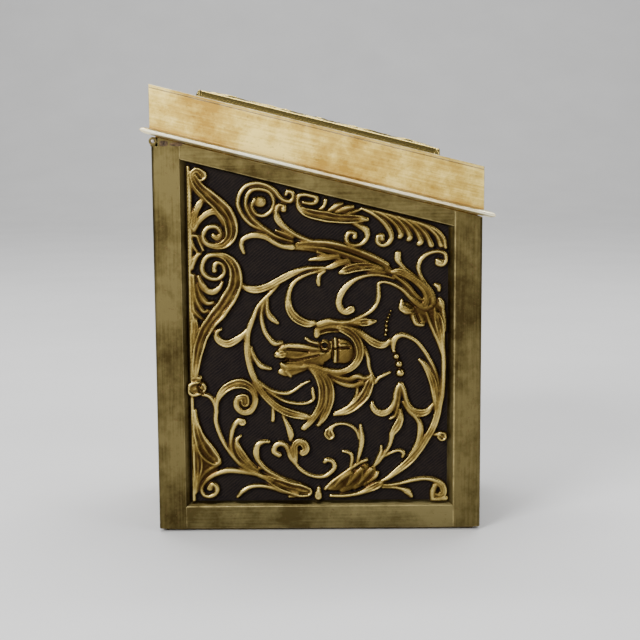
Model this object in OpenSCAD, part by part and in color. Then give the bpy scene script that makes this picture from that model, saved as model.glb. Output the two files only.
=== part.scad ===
// Slope-topped brass needle case: a box framed in flat brass strip, with stamped scrollwork panels,
// a hinged lid with an overhanging rim, and four compartments for needle packets.
// Units are millimetres. +Z is up, and the origin is the centre of the underside.
// +X runs from the tall hinge side to the low side; the wide front faces -Y.

/* [Case] */
// Width across the wide face, from the tall side to the low side
case_w = 51; // [48:0.5:56]
// Depth from front to back
case_d = 32; // [28:0.5:40]
// Height of the top plane at the tall side
tall_h = 70.2; // [66:0.1:76]
// Slope of the lid and of the joint under it, in degrees
slope = 14; // [10:0.5:16]
// Height of the lid, from its top plane down to the joint
lid_h = 7.8; // [7:0.1:10]

/* [Frame] */
// Thickness of the frame strips
strip_t = 1.0; // [0.8:0.1:1.4]
// Width of the flat on each corner post
post_w = 4.3; // [3.5:0.1:5]
// Width of the bevel round each opening
bevel_w = 1.0; // [0.6:0.1:1.2]
// Height of the flat on the bottom rails
foot_rail_h = 3.6; // [3:0.1:5]
// Height of the flat on the top rails, measured straight down
top_rail_h = 2.5; // [2.2:0.1:3.5]

/* [Sheet] */
// Thickness of the stamped panels, without their relief
panel_t = 0.3; // [0.2:0.05:0.4]
// Height of the relief above the ground of a side panel
relief_h = 0.9; // [0.5:0.05:1]
// Thickness of the inner shell
shell_t = 0.5; // [0.4:0.1:0.7]
// Thickness of the compartment dividers
divider_t = 0.5; // [0.4:0.1:0.8]

/* [Lid] */
// Thickness of the lid's four walls
lid_wall_t = 0.7; // [0.5:0.1:0.7]
// Thickness of the plate round the lid's panel
lid_plate_t = 0.5; // [0.4:0.1:0.8]
// Height of the relief above the lid's panel
lid_relief_h = 2.2; // [1:0.1:2.4]
// Thickness of the rim strip at the lid's lower edge
rim_t = 1.0; // [0.8:0.1:1.3]
// How far the rim stands out from the lid's walls
rim_out = 1.5; // [1:0.1:2]
// Gap between the closed lid and the case
joint_gap = 0.15; // [0.1:0.05:0.3]
// Height of the collar that stands up inside the closed lid
collar_h = 2; // [1.5:0.1:3]

/* [Hinge] */
// Outer radius of the hinge knuckles
knuckle_r = 0.65; // [0.55:0.05:0.7]
// Radius of the hinge pin
pin_r = 0.28; // [0.22:0.02:0.32]
// Number of knuckles, the outer two being the case's
knuckle_n = 5; // [3:2:7]

/* [Hidden] */

// Colours
brass = "#b39a5a";
pale_brass = "#c9b27a";
dark_panel = "#8f7a3c";
steel = "#8a8a86";
velvet = "#4a2a33";

// Half widths of the case, and the depth of each layer of its wall
hx = case_w / 2;
hy = case_d / 2;
frame_in_x = hx - strip_t;
frame_in_y = hy - strip_t;
shell_out_x = frame_in_x - panel_t;
shell_out_y = frame_in_y - panel_t;
shell_in_x = shell_out_x - shell_t;
shell_in_y = shell_out_y - shell_t;

// The base stands proud of the frame, which leaves a shadow line under it
foot_gap = 0.5;
base_t = 1.0;
lining_t = 0.5;
corner_r = 0.5;

// The joint plane and the planes parallel to it are named by their height at x = 0
rise = tan(slope);
joint_z = tall_h - lid_h - hx * rise;
top_z = tall_h - hx * rise;
far = 200;

// The lid stands out a little from the case, and clears the collar inside
lid_proud = 0.15;
lid_x = hx + lid_proud;
lid_y = hy + lid_proud;
collar_clear = 0.15;
collar_out_x = lid_x - lid_wall_t - collar_clear;
collar_out_y = lid_y - lid_wall_t - collar_clear;
rim_under_z = joint_z + joint_gap;
rim_top_z = rim_under_z + rim_t / cos(slope);
plate_under_z = top_z - lid_plate_t;

// The hinge pin runs from front to back, sunk in the top of the tall side
hinge_x = -hx + 0.3;
hinge_z = tall_h - lid_h - 0.8;
notch_z = hinge_z - 0.8;
notch_x = hinge_x + 0.75;
knuckle_gap = 0.1;
bore_clear = 0.02;
knuckle_span = case_d - 0.2;
knuckle_l = knuckle_span / knuckle_n;
leg_w = 0.8;

// Openings in the frame, where the panels show
open_x = hx - post_w - bevel_w;
open_y = hy - post_w - bevel_w;
lid_margin_y = 4.6;
lid_open_x = open_x - 0.3;
lid_open_y = lid_y - lid_margin_y;

// How finely a stem's outline follows its curve
stem_steps = 1;

// ---------------------------------------------------------------- scroll stems
// Each stem is a list of [across, up, width], joined by a smooth curve.
// The wide panel's stems are placed from the middle of the case and from the surface it stands on.

corner_leaf = [
    [[-19.6, 55.4, 0.5], [-18.6, 54, 0.8], [-17.4, 52.8, 0.8], [-16.2, 51.4, 0.3]],
    [[-19.2, 48.5, 1], [-18.9, 50.5, 0.9], [-18.2, 52, 0.9], [-17.5, 52.9, 0.4]],
    [[-19.2, 47.9, 0.7], [-18.4, 49.3, 0.8], [-17, 50.5, 0.9], [-15.7, 50.7, 0.9], [-14.9, 49.6, 0.7],
     [-14.6, 48.6, 0.3]],
    [[-19.7, 57, 0.4], [-19.7, 52, 0.5], [-19.7, 47, 0.5], [-19.7, 42, 0.4]],
    [[-19.7, 47.1, 0.5], [-18.7, 47, 0.5], [-18.4, 46.2, 0.4], [-17.8, 44.8, 0.3]],
    [[-16.1, 41.6, 0.7], [-16.1, 42.4, 0.7], [-15.5, 42.9, 0.6], [-14.7, 42.4, 0.6], [-14.6, 41.3, 0.6],
     [-15.4, 40.4, 0.6], [-16.7, 40.4, 0.7], [-17.8, 41.2, 0.7], [-18, 42.6, 0.7], [-17.2, 43.8, 0.7],
     [-15.8, 44.1, 0.8], [-14.3, 43.7, 1.1], [-13.2, 42.5, 1.5], [-12.8, 41, 1.9], [-13, 39.2, 2.1],
     [-14, 37.2, 2.2], [-15.4, 35.2, 2.2], [-16.9, 33.4, 2], [-18.1, 31.4, 1.8], [-18.8, 29.2, 1.6],
     [-19.2, 27, 1.2], [-19.4, 25, 0.8]],
    [[-18.6, 40.7, 0.5], [-18.1, 39.4, 0.9], [-17.3, 38.5, 0.9], [-16.3, 38.3, 0.9], [-15.4, 38.9, 0.7],
     [-14.9, 39.8, 0.3]],
    [[-18.9, 39.5, 0.4], [-18.3, 37.7, 0.8], [-17.4, 36.6, 0.8], [-16.5, 36.6, 0.6]],
    [[-19.4, 40.9, 0.5], [-19.2, 38, 0.7], [-18.6, 36.2, 0.7], [-17.9, 35.2, 0.6], [-17.2, 35.4, 0.4]],
    [[-19.6, 41, 0.4], [-19.5, 36, 0.6], [-18.9, 34.8, 0.6], [-18.2, 34.1, 0.3]],
    [[-19.7, 35, 0.5], [-19.3, 33, 1.1], [-19.5, 31, 0.7], [-19.7, 28, 0.4]]
];

knot_and_foot = [
    [[-18.3, 22.1, 0.5], [-17.3, 21.8, 0.6], [-16.6, 21, 0.6], [-16.2, 19.7, 0.6], [-16.3, 18, 0.6],
     [-15.8, 16, 0.6], [-14.9, 14, 0.6], [-13.5, 12, 0.7], [-11.9, 10.4, 0.8], [-9.8, 9.2, 0.8],
     [-7.5, 8.2, 0.8]],
    [[-19.6, 19.5, 0.5], [-19.3, 16.8, 1.1], [-18.6, 14.4, 2], [-17.6, 12.6, 2.6], [-16.6, 11.6, 1.8]],
    [[-19.5, 14, 0.8], [-19.2, 11, 1.4], [-19.4, 8.5, 0.9], [-19.7, 6.2, 0.4]],
    [[-15.8, 11.8, 0.4], [-15.9, 11, 0.6], [-17, 10.3, 0.7], [-18.2, 9.4, 0.6], [-19.1, 8, 0.5],
     [-19.5, 6.4, 0.3]],
    [[-7.5, 8.4, 0.6], [-9.6, 9.1, 0.7], [-12, 9.6, 0.8], [-14.4, 9.8, 0.8], [-16.4, 9.2, 0.7],
     [-17.9, 8.2, 0.6], [-18.7, 7, 0.5], [-18.4, 5.9, 0.5], [-17.4, 5.6, 0.6], [-16.5, 6.1, 0.7],
     [-16.3, 7, 0.7], [-16.9, 7.6, 0.7], [-17.4, 7, 0.9]],
    [[-13, 5.5, 0.3], [-12.3, 6.3, 0.6], [-11, 7.1, 0.6], [-9.3, 7.3, 0.6], [-7.5, 7, 0.7],
     [-5.5, 6.4, 0.8], [-3.5, 6, 0.8]],
    [[-8.7, 8.8, 0.8], [-6.8, 7.8, 1.4], [-4.8, 7, 1.9], [-3, 6.5, 2], [-1.9, 6.3, 1.4]],
    [[-8, 14.4, 0.4], [-8.9, 14.4, 0.6], [-9.7, 13.9, 0.8], [-10, 12.9, 0.9], [-9.8, 11.7, 0.8],
     [-9.1, 10.6, 0.7], [-8, 9.6, 0.7], [-6.2, 8.6, 0.6], [-4.4, 7.9, 0.6], [-3, 7.5, 0.4]],
    [[-10.4, 10.2, 0.7], [-12.2, 10.9, 0.6], [-13.3, 12, 0.6], [-13.9, 13.5, 0.6], [-13.9, 15.2, 0.6],
     [-13.5, 16.8, 0.7], [-12.7, 17.8, 0.8], [-12.1, 17.6, 1.1]],
    [[-12.4, 15.4, 0.2], [-13.1, 14.6, 0.6], [-12.8, 13.4, 1], [-12.1, 12.2, 1.1], [-11.1, 11, 0.9],
     [-9.8, 9.9, 0.6]]
];

great_ring = [
    [[1, 42, 0.4], [-1.5, 41.9, 0.6], [-3.5, 41.3, 0.9], [-5, 40.6, 1], [-6.5, 39.8, 1], [-8, 39, 1],
     [-9.6, 38.6, 1.1], [-11, 38.8, 0.9], [-11.9, 39.4, 0.6]],
    [[-6, 39.6, 0.4], [-7.2, 38.3, 0.5], [-8.5, 37, 0.6], [-9.5, 35.8, 0.6], [-10.1, 34.4, 0.7],
     [-10.7, 33, 0.8], [-11.1, 31.6, 0.8], [-11.2, 30, 0.9], [-11.1, 28.3, 0.9], [-10.8, 26.6, 0.9],
     [-10.3, 25, 0.9], [-9.6, 23.5, 0.9], [-8.7, 22.1, 1], [-7.5, 20.8, 1], [-6.1, 19.7, 1.1],
     [-4.5, 19, 1.2], [-3, 18.6, 1.1], [-1.5, 18.3, 0.8]],
    [[-10.8, 32.7, 0.5], [-11.8, 31.5, 0.8], [-13, 30.6, 1], [-14.3, 30.1, 1.1], [-15.4, 30.5, 1],
     [-16, 31.3, 0.8], [-15.9, 32, 0.6], [-15.3, 32.4, 0.4]],
    [[-8, 37.3, 0.4], [-8.7, 36, 0.5], [-8.9, 34.5, 0.6], [-8.7, 33, 0.6], [-8.3, 31.8, 0.6],
     [-7.6, 30.8, 0.7], [-6.8, 30.1, 0.8], [-5.8, 30.2, 0.5]],
    [[-7.9, 37.2, 0.3], [-8, 35.6, 0.6], [-7.7, 34.6, 0.8], [-7.1, 33.9, 0.8], [-6.4, 33.3, 0.4]],
    [[-10.6, 29.5, 0.4], [-10.3, 28.4, 0.6], [-9.7, 27.3, 0.7], [-8.9, 26.5, 0.8], [-7.6, 26.1, 0.4]],
    [[-9.7, 24.3, 0.4], [-8.6, 23.3, 0.5], [-7.4, 22.6, 0.5], [-6, 22.2, 0.5], [-4.8, 22.2, 0.5],
     [-3.8, 22.7, 0.4], [-2.7, 23.5, 0.3], [-1.5, 24.1, 0.2]],
    [[-8.1, 22.6, 0.4], [-6.9, 21.8, 0.5], [-5.5, 21, 0.5], [-4, 20.6, 0.4], [-2.5, 20.5, 0.4],
     [-1.3, 20.8, 0.4], [-0.8, 21.4, 0.5], [-0.9, 22.2, 0.5], [-1, 23, 0.2]],
    [[-5.9, 19.3, 0.4], [-5.4, 18, 0.5], [-4.8, 16.7, 0.8], [-4.5, 15.6, 0.9], [-4.5, 14.7, 0.6]],
    [[-6.4, 12.3, 0.8], [-7.1, 12.8, 0.8], [-7, 13.6, 0.8], [-6.2, 14.1, 0.8], [-5.3, 13.8, 0.8],
     [-4.8, 12.9, 0.8], [-4.4, 11.9, 0.9], [-3.8, 10.9, 0.6]],
    [[-2.6, 12.6, 0.7], [-2.1, 13, 0.7], [-2.3, 13.9, 0.8], [-3.2, 14.4, 0.7], [-3.9, 13.7, 0.7],
     [-3.9, 12.6, 0.7], [-3.8, 11.3, 0.5]],
    [[-3.9, 11, 0.4], [-3, 9.9, 0.5], [-1.8, 9.1, 0.5], [-0.4, 8.7, 0.5], [0.9, 8.8, 0.6],
     [1.9, 9.5, 0.7], [2.4, 10.4, 0.7], [2, 11.2, 0.6], [1.2, 11.4, 0.6], [0.9, 11.1, 0.5]]
];

top_scrolls = [
    [[-11.5, 44.3, 0.3], [-11.8, 45.2, 0.6], [-11.8, 46.2, 0.7], [-10.8, 46.9, 0.8], [-9.4, 47.1, 0.9],
     [-8, 46.8, 0.9], [-6.8, 46, 0.8], [-5.5, 45.4, 0.8], [-4, 45.2, 0.9]],
    [[-5, 45.2, 0.7], [-3, 45.2, 1.3], [-1, 45.2, 1.7], [1, 45, 1.9], [3, 44.5, 2.1], [5, 43.8, 2.3],
     [7, 43.1, 2.5], [8.8, 42.5, 2.3], [10.2, 41.9, 1.6], [11, 41.5, 0.8]],
    [[-1.3, 43.2, 0.3], [0, 43.4, 0.8], [1.6, 43.6, 0.9], [3.2, 43.8, 0.8]],
    [[1.1, 41.9, 0.4], [2, 42.1, 0.8], [3.1, 42.6, 0.9], [4.6, 43, 0.9]],
    [[3.5, 41.2, 0.6], [4.5, 41.6, 1.2], [6, 42, 1.3], [8, 42.1, 1.1], [9.8, 41.8, 0.8]],
    [[-6.9, 47.1, 0.3], [-8.6, 47.9, 0.5], [-10.2, 48.7, 0.6], [-11.5, 50, 0.6], [-12.3, 51.7, 0.6],
     [-12.1, 53.3, 0.6], [-11.1, 54.6, 0.6], [-9.5, 55.1, 0.6], [-7.9, 54.8, 0.6], [-6.7, 54, 0.6],
     [-5.9, 53, 0.6], [-5.1, 52.4, 0.6], [-4.2, 52.3, 0.6], [-3.8, 52.9, 0.6], [-3.9, 53.6, 0.6],
     [-4.6, 53.8, 0.5], [-4.9, 53.3, 0.4]],
    [[-4, 46.1, 0.4], [-6.4, 46.9, 0.6], [-8.4, 48.2, 0.6], [-10, 49.6, 0.6], [-11, 51.3, 0.6],
     [-11, 52.9, 0.6], [-10.2, 54, 0.6], [-8.8, 54.2, 0.6], [-7.4, 53.7, 0.6], [-6.8, 52.5, 0.5],
     [-7.1, 51, 0.5], [-8.3, 50.1, 0.5], [-9.6, 50.4, 0.5], [-10.2, 51.6, 0.5], [-9.7, 52.6, 0.6]],
    [[-5.3, 51, 0.8], [-5.2, 51.5, 0.6], [-5.9, 51.7, 0.6], [-6.4, 50.9, 0.7], [-6.3, 49.8, 0.9],
     [-5.7, 48.8, 0.9], [-4.7, 47.9, 0.8], [-3.4, 47.1, 0.7], [-1.9, 46.4, 0.6], [0.2, 45.8, 0.5]],
    [[-2.2, 52.1, 0.5], [-1.2, 51.9, 0.6], [-0.3, 52.1, 0.6], [-0.2, 52.8, 0.6], [-1, 53.1, 0.6],
     [-2, 53.3, 0.6], [-2.9, 53.1, 0.6], [-3.1, 52.2, 0.6], [-2.8, 51.3, 0.8], [-1.8, 50.6, 1.2],
     [-0.4, 50.2, 1.5], [1.2, 49.9, 1.6], [3, 49.6, 1.4], [4.8, 49.5, 1.3], [6.4, 49.5, 1.1],
     [7.6, 49.4, 0.6]],
    [[1, 50.3, 0.4], [2, 50.9, 0.7], [3, 51.6, 0.7], [3.8, 51.9, 0.3]],
    [[2, 50.2, 0.4], [3.3, 50.7, 0.7], [4.5, 51.2, 0.8], [5.4, 51.4, 0.5]],
    [[3.4, 49.9, 0.5], [5, 50.4, 0.7], [6.7, 51, 0.2]],
    [[5.4, 49, 0.7], [6.5, 48.4, 0.8], [7.5, 47.7, 0.9], [7.6, 46.7, 0.7], [7, 45.8, 0.6],
     [5.9, 45.4, 0.6], [4.8, 45.7, 0.6], [4.4, 46.6, 0.6], [4.9, 47.4, 0.6], [5.8, 47.2, 0.5],
     [5.7, 46.7, 0.7]],
    [[9.4, 50.5, 0.4], [11, 49.6, 0.6], [12.2, 48.5, 0.7], [12.9, 47.2, 0.8], [12.7, 46.7, 0.7]],
    [[11, 50.1, 0.4], [12.5, 49.3, 0.6], [13.6, 48.1, 0.7], [14.3, 46.8, 0.8], [14.1, 46.3, 0.7]],
    [[12.5, 49.8, 0.4], [14, 48.9, 0.6], [15.2, 47.7, 0.7], [16, 46.1, 0.8], [15.7, 45.6, 0.7]],
    [[14, 49.3, 0.4], [15.6, 48.3, 0.6], [16.8, 47, 0.7], [17.6, 45.4, 0.8]],
    [[15.6, 48.8, 0.4], [17.2, 48, 0.6], [18.5, 46.8, 0.7], [19.1, 45.4, 0.8]]
];

right_scrolls = [
    [[12.4, 44, 0.9], [12.4, 43.2, 0.9], [12.9, 42.3, 0.6], [13.8, 41.4, 0.6], [15, 40.4, 0.7],
     [16.2, 39.5, 0.8], [17.2, 38.5, 0.9], [17.8, 37.4, 0.9], [17.9, 36.4, 0.8]],
    [[11.5, 41.2, 0.6], [12.5, 41.3, 1], [13.7, 40.8, 1], [14.9, 40, 0.9], [15.9, 39, 0.8],
     [16.7, 37.9, 0.8], [16.9, 36.8, 0.9], [16.6, 36, 1]],
    [[11.8, 40.7, 0.4], [13, 39.9, 0.7], [14.1, 38.9, 0.7], [15, 37.8, 0.6], [15.9, 37, 0.5],
     [16.8, 36.9, 0.5]],
    [[9.4, 38.6, 0.4], [9.4, 39.4, 0.4], [10.2, 39.7, 0.4], [11.5, 39.4, 0.5], [13, 38.6, 0.6],
     [14.3, 37.4, 0.8], [15.4, 36.4, 0.9], [16.6, 35.6, 0.8], [17.6, 35.9, 0.7]],
    [[9.4, 38.8, 0.5], [9.4, 37.5, 0.6], [9.1, 36.3, 0.5], [8.4, 35.3, 0.5], [7.4, 34.6, 0.5],
     [6.2, 34, 0.6], [5, 33.5, 0.7], [3.5, 33.3, 0.8]],
    [[11.8, 40.2, 0.3], [10.5, 40.6, 0.4], [9, 40.8, 0.4], [7.5, 40.7, 0.5], [6, 40.2, 0.6],
     [4.7, 39.3, 0.8], [3.7, 38.1, 0.9], [3.2, 36.8, 0.9], [3.5, 35.5, 0.9], [4.3, 35, 0.9],
     [5.1, 35.4, 1.1]],
    [[1.6, 42, 0.3], [0, 41.4, 0.4], [-1.5, 41, 0.4], [-3, 40.3, 0.5], [-4, 39.4, 0.6], [-4.6, 38, 0.7],
     [-4.7, 36.6, 0.9], [-4.4, 35.3, 1.1], [-3.7, 34.3, 1.2], [-2.7, 33.6, 1.2], [-1.6, 33.2, 1.1],
     [-0.7, 33.3, 0.8]],
    [[18.6, 34.4, 1], [18.9, 33, 1.3], [19.2, 31.4, 1], [19.4, 29.6, 0.7], [19.6, 27.6, 0.6],
     [19.6, 25.6, 0.6], [19.5, 23.6, 0.7], [19.3, 21.8, 0.8], [18.9, 20, 0.9], [18.5, 18.2, 1],
     [17.9, 16.5, 1], [17, 14.9, 1], [16, 13.3, 1], [14.9, 11.9, 1.1], [13.6, 10.6, 1.1],
     [12.2, 9.5, 0.9], [11, 8.5, 0.7], [9.9, 7.9, 0.5]],
    [[17.2, 34, 1.1], [17.3, 32.8, 1.3], [18, 31.4, 0.9], [18.8, 29.8, 0.5]],
    [[15.8, 27.4, 0.3], [16.6, 26.6, 0.8], [17.4, 25.2, 1], [18, 23.5, 1.1], [18.3, 21.5, 0.9],
     [18.4, 19.5, 0.6]],
    [[11.7, 29.2, 0.5], [11.7, 30.1, 0.8], [12.1, 30.9, 0.8], [13, 31.3, 0.7], [14.2, 31, 0.6],
     [15.4, 30.2, 0.5], [16.5, 28.9, 0.5], [17.4, 27.4, 0.5], [18.2, 25.8, 0.5], [18.7, 24.2, 0.5],
     [18.9, 22.4, 0.6]],
    [[12.7, 23.5, 0.6], [12.2, 22.5, 0.7], [12, 21.2, 0.7], [11.6, 20, 0.8], [10.9, 19.2, 0.9],
     [9.9, 18.9, 1], [8.9, 19.3, 0.9], [8.4, 20.1, 0.7], [8.4, 20.6, 0.4]],
    [[13, 23.5, 0.6], [13.4, 22.5, 0.7], [13.7, 21.2, 0.7], [14.2, 20, 0.8], [15, 19.2, 1],
     [16.1, 18.9, 1.1], [17.1, 19.2, 0.9], [17.7, 19.9, 0.6], [18.1, 20.5, 0.3]],
    [[12.8, 22.9, 0.4], [12.6, 21, 0.4], [12.3, 19.5, 0.5], [11.9, 18.4, 0.4], [11.2, 18, 0.3]],
    [[12.8, 19.4, 0.6], [12.8, 18, 1], [12.3, 16.8, 1.2], [11.6, 15.7, 0.9], [11.4, 14.7, 0.6],
     [11, 13.5, 0.5], [10.2, 12.2, 0.5], [9.3, 11, 0.5], [8.7, 10.4, 0.4]],
    [[13.3, 20.6, 0.4], [14.2, 19.2, 0.6], [15.2, 18.3, 0.7], [15.9, 17.2, 0.8], [16, 15.8, 0.9],
     [15.7, 14.3, 0.9], [15, 12.9, 0.8], [14.2, 11.8, 0.6]],
    [[9.5, 7.4, 0.5], [11, 7.3, 0.5], [13, 7.6, 0.5], [15, 8.1, 0.6], [16.8, 8.3, 0.6], [18.3, 8, 0.8],
     [19.4, 7.2, 1], [19.7, 6.2, 1], [19.3, 5.6, 1], [18.6, 5.7, 0.7]],
    [[10, 6.9, 0.3], [11.5, 6.9, 0.3], [13, 6.7, 0.6], [14, 6.2, 0.9], [14.6, 5.4, 0.4]],
    [[0.9, 6.7, 0.4], [2, 7.8, 0.5], [3.5, 8.9, 0.5], [5, 10, 0.5], [6.4, 10.9, 0.5], [7.5, 11.4, 0.4]],
    [[2, 6.9, 1.4], [3.6, 7.2, 2.2], [5.4, 8, 3], [7, 8.9, 3], [8.2, 9.4, 1.6]],
    [[1.8, 5.6, 0.4], [4, 5.6, 0.5], [6.4, 6, 0.6], [8.2, 6.8, 1], [9.2, 7.3, 1.1], [9.8, 7.7, 0.7]],
    [[8.7, 10.5, 0.4], [9.4, 11.8, 0.6], [9.8, 12.8, 0.5], [9.8, 13.6, 0.2]],
    [[10.2, 11.9, 0.3], [11.3, 12.5, 0.4], [12.5, 12.9, 0.4], [13.3, 12.5, 0.6], [13.2, 11.8, 0.3]],
    [[5, 10.4, 0.4], [5.2, 11.4, 0.5], [5.1, 12.2, 0.5], [4.6, 12.6, 0.4], [3.8, 12.8, 0.3]],
    [[6, 11, 0.4], [6.4, 12.6, 0.6], [6.7, 14, 0.7], [6.7, 15.5, 0.7], [6.5, 17, 0.3]]
];

griffin = [
    [[-6.2, 28.6, 0.8], [-5.2, 29.3, 1], [-3.9, 29.6, 0.9], [-2.4, 29.2, 1.2], [-1, 28.9, 1.6],
     [0.4, 29, 1.2]],
    [[-4.9, 28.1, 0.4], [-3.8, 28.4, 0.6], [-3, 27.9, 0.6], [-2, 28.2, 0.8], [-0.6, 28.3, 1.2]],
    [[-5.6, 27, 0.6], [-5, 26.3, 1.6], [-3.9, 26.6, 2], [-2.8, 27, 2], [-1.5, 27, 1.4]],
    [[-2.2, 26.8, 0.6], [-0.5, 26.4, 0.6], [1, 25.8, 0.5], [2.6, 25.5, 0.5], [4.2, 25.7, 0.5],
     [5.6, 26.6, 0.6], [6.4, 28, 0.6], [6.4, 29.5, 0.6], [5.8, 31, 0.5], [4.6, 32.1, 0.5],
     [3, 32.7, 0.5], [1.4, 32.8, 0.5], [0.2, 32.3, 0.6], [-0.2, 31.5, 0.6]],
    [[-0.2, 32.1, 0.9], [0.6, 31.8, 1.2], [1.8, 31.6, 1.2], [2.8, 31.5, 0.7]],
    [[0.2, 29.6, 0.5], [0.5, 30.4, 0.5], [1.4, 30.6, 0.4], [2, 30, 0.4], [1.8, 29.1, 0.4],
     [0.9, 28.9, 0.4]],
    [[2.4, 31.2, 0.5], [2.4, 29, 0.7], [2.6, 27.3, 0.7]],
    [[0.1, 33.1, 0.9], [1.5, 33.5, 0.9], [3, 33.4, 0.7], [4.6, 33.3, 0.6], [6, 33.3, 0.8],
     [7.3, 33.4, 1.2], [8.2, 33.4, 0.8], [8.9, 33.5, 0.3]],
    [[3, 32.9, 0.4], [4.6, 32.7, 0.6], [6, 32.1, 0.8], [7.2, 31.2, 0.9], [8.4, 30.3, 1.1],
     [9.6, 29.8, 1.1], [10.5, 29.9, 0.9], [11.2, 30.5, 0.6]],
    [[5.2, 32, 0.4], [6.4, 30.7, 0.4], [7.2, 29.2, 0.5], [7.7, 27.8, 0.5], [7.9, 26.4, 0.4],
     [8.3, 25.2, 0.4], [8.9, 24.2, 0.4]],
    [[-0.5, 26.2, 0.4], [1.5, 25.3, 0.5], [3.2, 24.7, 0.7], [4.8, 24.4, 0.8], [6.1, 24.8, 0.8],
     [7.2, 24.5, 0.7], [8.3, 24.9, 0.5]],
    [[1, 25.2, 0.3], [2.5, 24.2, 0.6], [4, 23.6, 0.8], [5.5, 23.4, 0.8], [6.9, 23.8, 0.8]],
    [[8.4, 24.7, 0.6], [7.9, 23.4, 1.3], [7.3, 22, 1.5], [6.5, 20.9, 1.4], [5.4, 19.9, 1.2],
     [4, 19.1, 0.9], [2.4, 18.7, 0.4]],
    [[6.1, 22.9, 0.5], [5.9, 21.7, 0.6], [5.1, 20.4, 0.6], [3.9, 19.5, 0.6], [2.6, 19, 0.4]],
    [[-1.2, 26, 0.5], [0, 25, 0.7], [0.7, 23.5, 0.8], [0.8, 22, 0.8], [0.6, 20.5, 0.8], [0, 19, 0.8],
     [-0.9, 17.8, 0.8], [-2, 16.9, 0.7], [-2.5, 16.6, 0.5]],
    [[-0.8, 26.2, 0.4], [0.9, 25.2, 0.6], [1.7, 23.8, 0.8], [1.9, 22, 0.9], [1.6, 20, 0.9],
     [1, 18.5, 0.8], [0.3, 17.3, 0.7], [-0.2, 16.9, 0.4]]
];

// Beads are round studs: [across, up, radius]
beads = [
    [10.5, 31.3, 0.3], [10.6, 32, 0.34], [10.6, 32.7, 0.3], [10.7, 33.4, 0.28], [10.9, 34, 0.24],
    [11.1, 34.5, 0.2], [11.9, 28.7, 0.36], [12.2, 27.8, 0.55], [12.6, 26.6, 0.6], [12.8, 25.2, 0.7]
];

wide_stems = concat(corner_leaf, knot_and_foot, great_ring, top_scrolls, right_scrolls, griffin);

// Half of a narrow panel's growth, placed from its middle line. The other half mirrors it.
narrow_half = [
    [[0.3, 6, 1.0], [1.6, 6.6, 1.2], [3.4, 6.4, 1.0], [5.2, 6, 0.8], [7.2, 6.2, 0.7], [8.8, 7.2, 0.6],
     [9.2, 8.6, 0.6], [8.4, 9.6, 0.6], [7.2, 9.2, 0.7], [7.3, 8.3, 0.9]],
    [[0.2, 8, 0.8], [1.4, 9.4, 0.9], [3.2, 10.4, 0.9], [5.4, 11, 0.9], [7.6, 12.2, 0.9],
     [8.9, 14.4, 0.8], [8.6, 16.8, 0.8], [7, 18.2, 0.8], [5, 18, 0.8], [3.9, 16.5, 0.8],
     [4.4, 14.9, 0.8], [5.9, 14.7, 0.8], [6.2, 15.9, 1.0]],
    [[3.8, 10.8, 0.3], [3.2, 12.2, 0.8], [1.9, 13.2, 0.5]],
    [[0.2, 14, 0.6], [1.4, 16, 0.8], [2.2, 18.2, 0.9], [2.6, 20.6, 1.0], [4.2, 22.6, 1.0],
     [6.4, 23.8, 0.9], [8.2, 25.6, 0.9], [8.8, 28, 0.8], [7.6, 30, 0.8], [5.6, 30.2, 0.8],
     [4.5, 28.6, 0.8], [5.2, 27.2, 0.8], [6.4, 27.9, 1.0]],
    [[6.8, 20.2, 0.3], [7.8, 21.4, 0.9], [9.4, 22, 0.4]],
    [[0.2, 22, 0.7], [1.4, 24, 0.9], [2, 26.4, 1.0], [1.8, 29, 0.9], [2.6, 31.6, 0.9],
     [4.6, 33.4, 0.9], [7, 34, 0.8], [8.8, 35.6, 0.7], [9, 37.8, 0.6], [7.6, 38.8, 0.6],
     [6.4, 38, 0.7], [7, 36.9, 0.9]],
    [[0.2, 31, 0.7], [1.2, 33.4, 1.0], [1.2, 36, 1.1], [2.6, 38.4, 1.0], [4.4, 40.4, 0.7],
     [4.9, 42.4, 0.3]],
    [[0.1, 36, 0.6], [0.1, 39, 1.3], [0.1, 41.4, 1.6], [0.1, 43.6, 0.3]]
];

// The tall side has room above for one more pair of volutes and a flower
tall_half = [
    [[0.2, 42.6, 0.5], [1.5, 44.6, 0.9], [3.6, 46, 1.0], [6, 46.4, 0.9], [8.2, 47.8, 0.8],
     [8.9, 50, 0.7], [8, 51.8, 0.7], [6.2, 51.8, 0.7], [5.4, 50.4, 0.7], [6.4, 49.6, 0.9]],
    [[0.2, 46.6, 0.5], [1.6, 48.4, 1.0], [2.4, 50.8, 1.1], [3.9, 53.2, 0.9], [6, 54.6, 0.7],
     [8.4, 55.4, 0.3]],
    [[0.1, 48, 0.6], [0.1, 51, 1.4], [0.1, 54, 1.0], [0.1, 56, 0.3]],
    [[8.8, 40.8, 0.3], [8, 42.4, 0.9], [7.6, 44.2, 0.4]]
];

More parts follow.
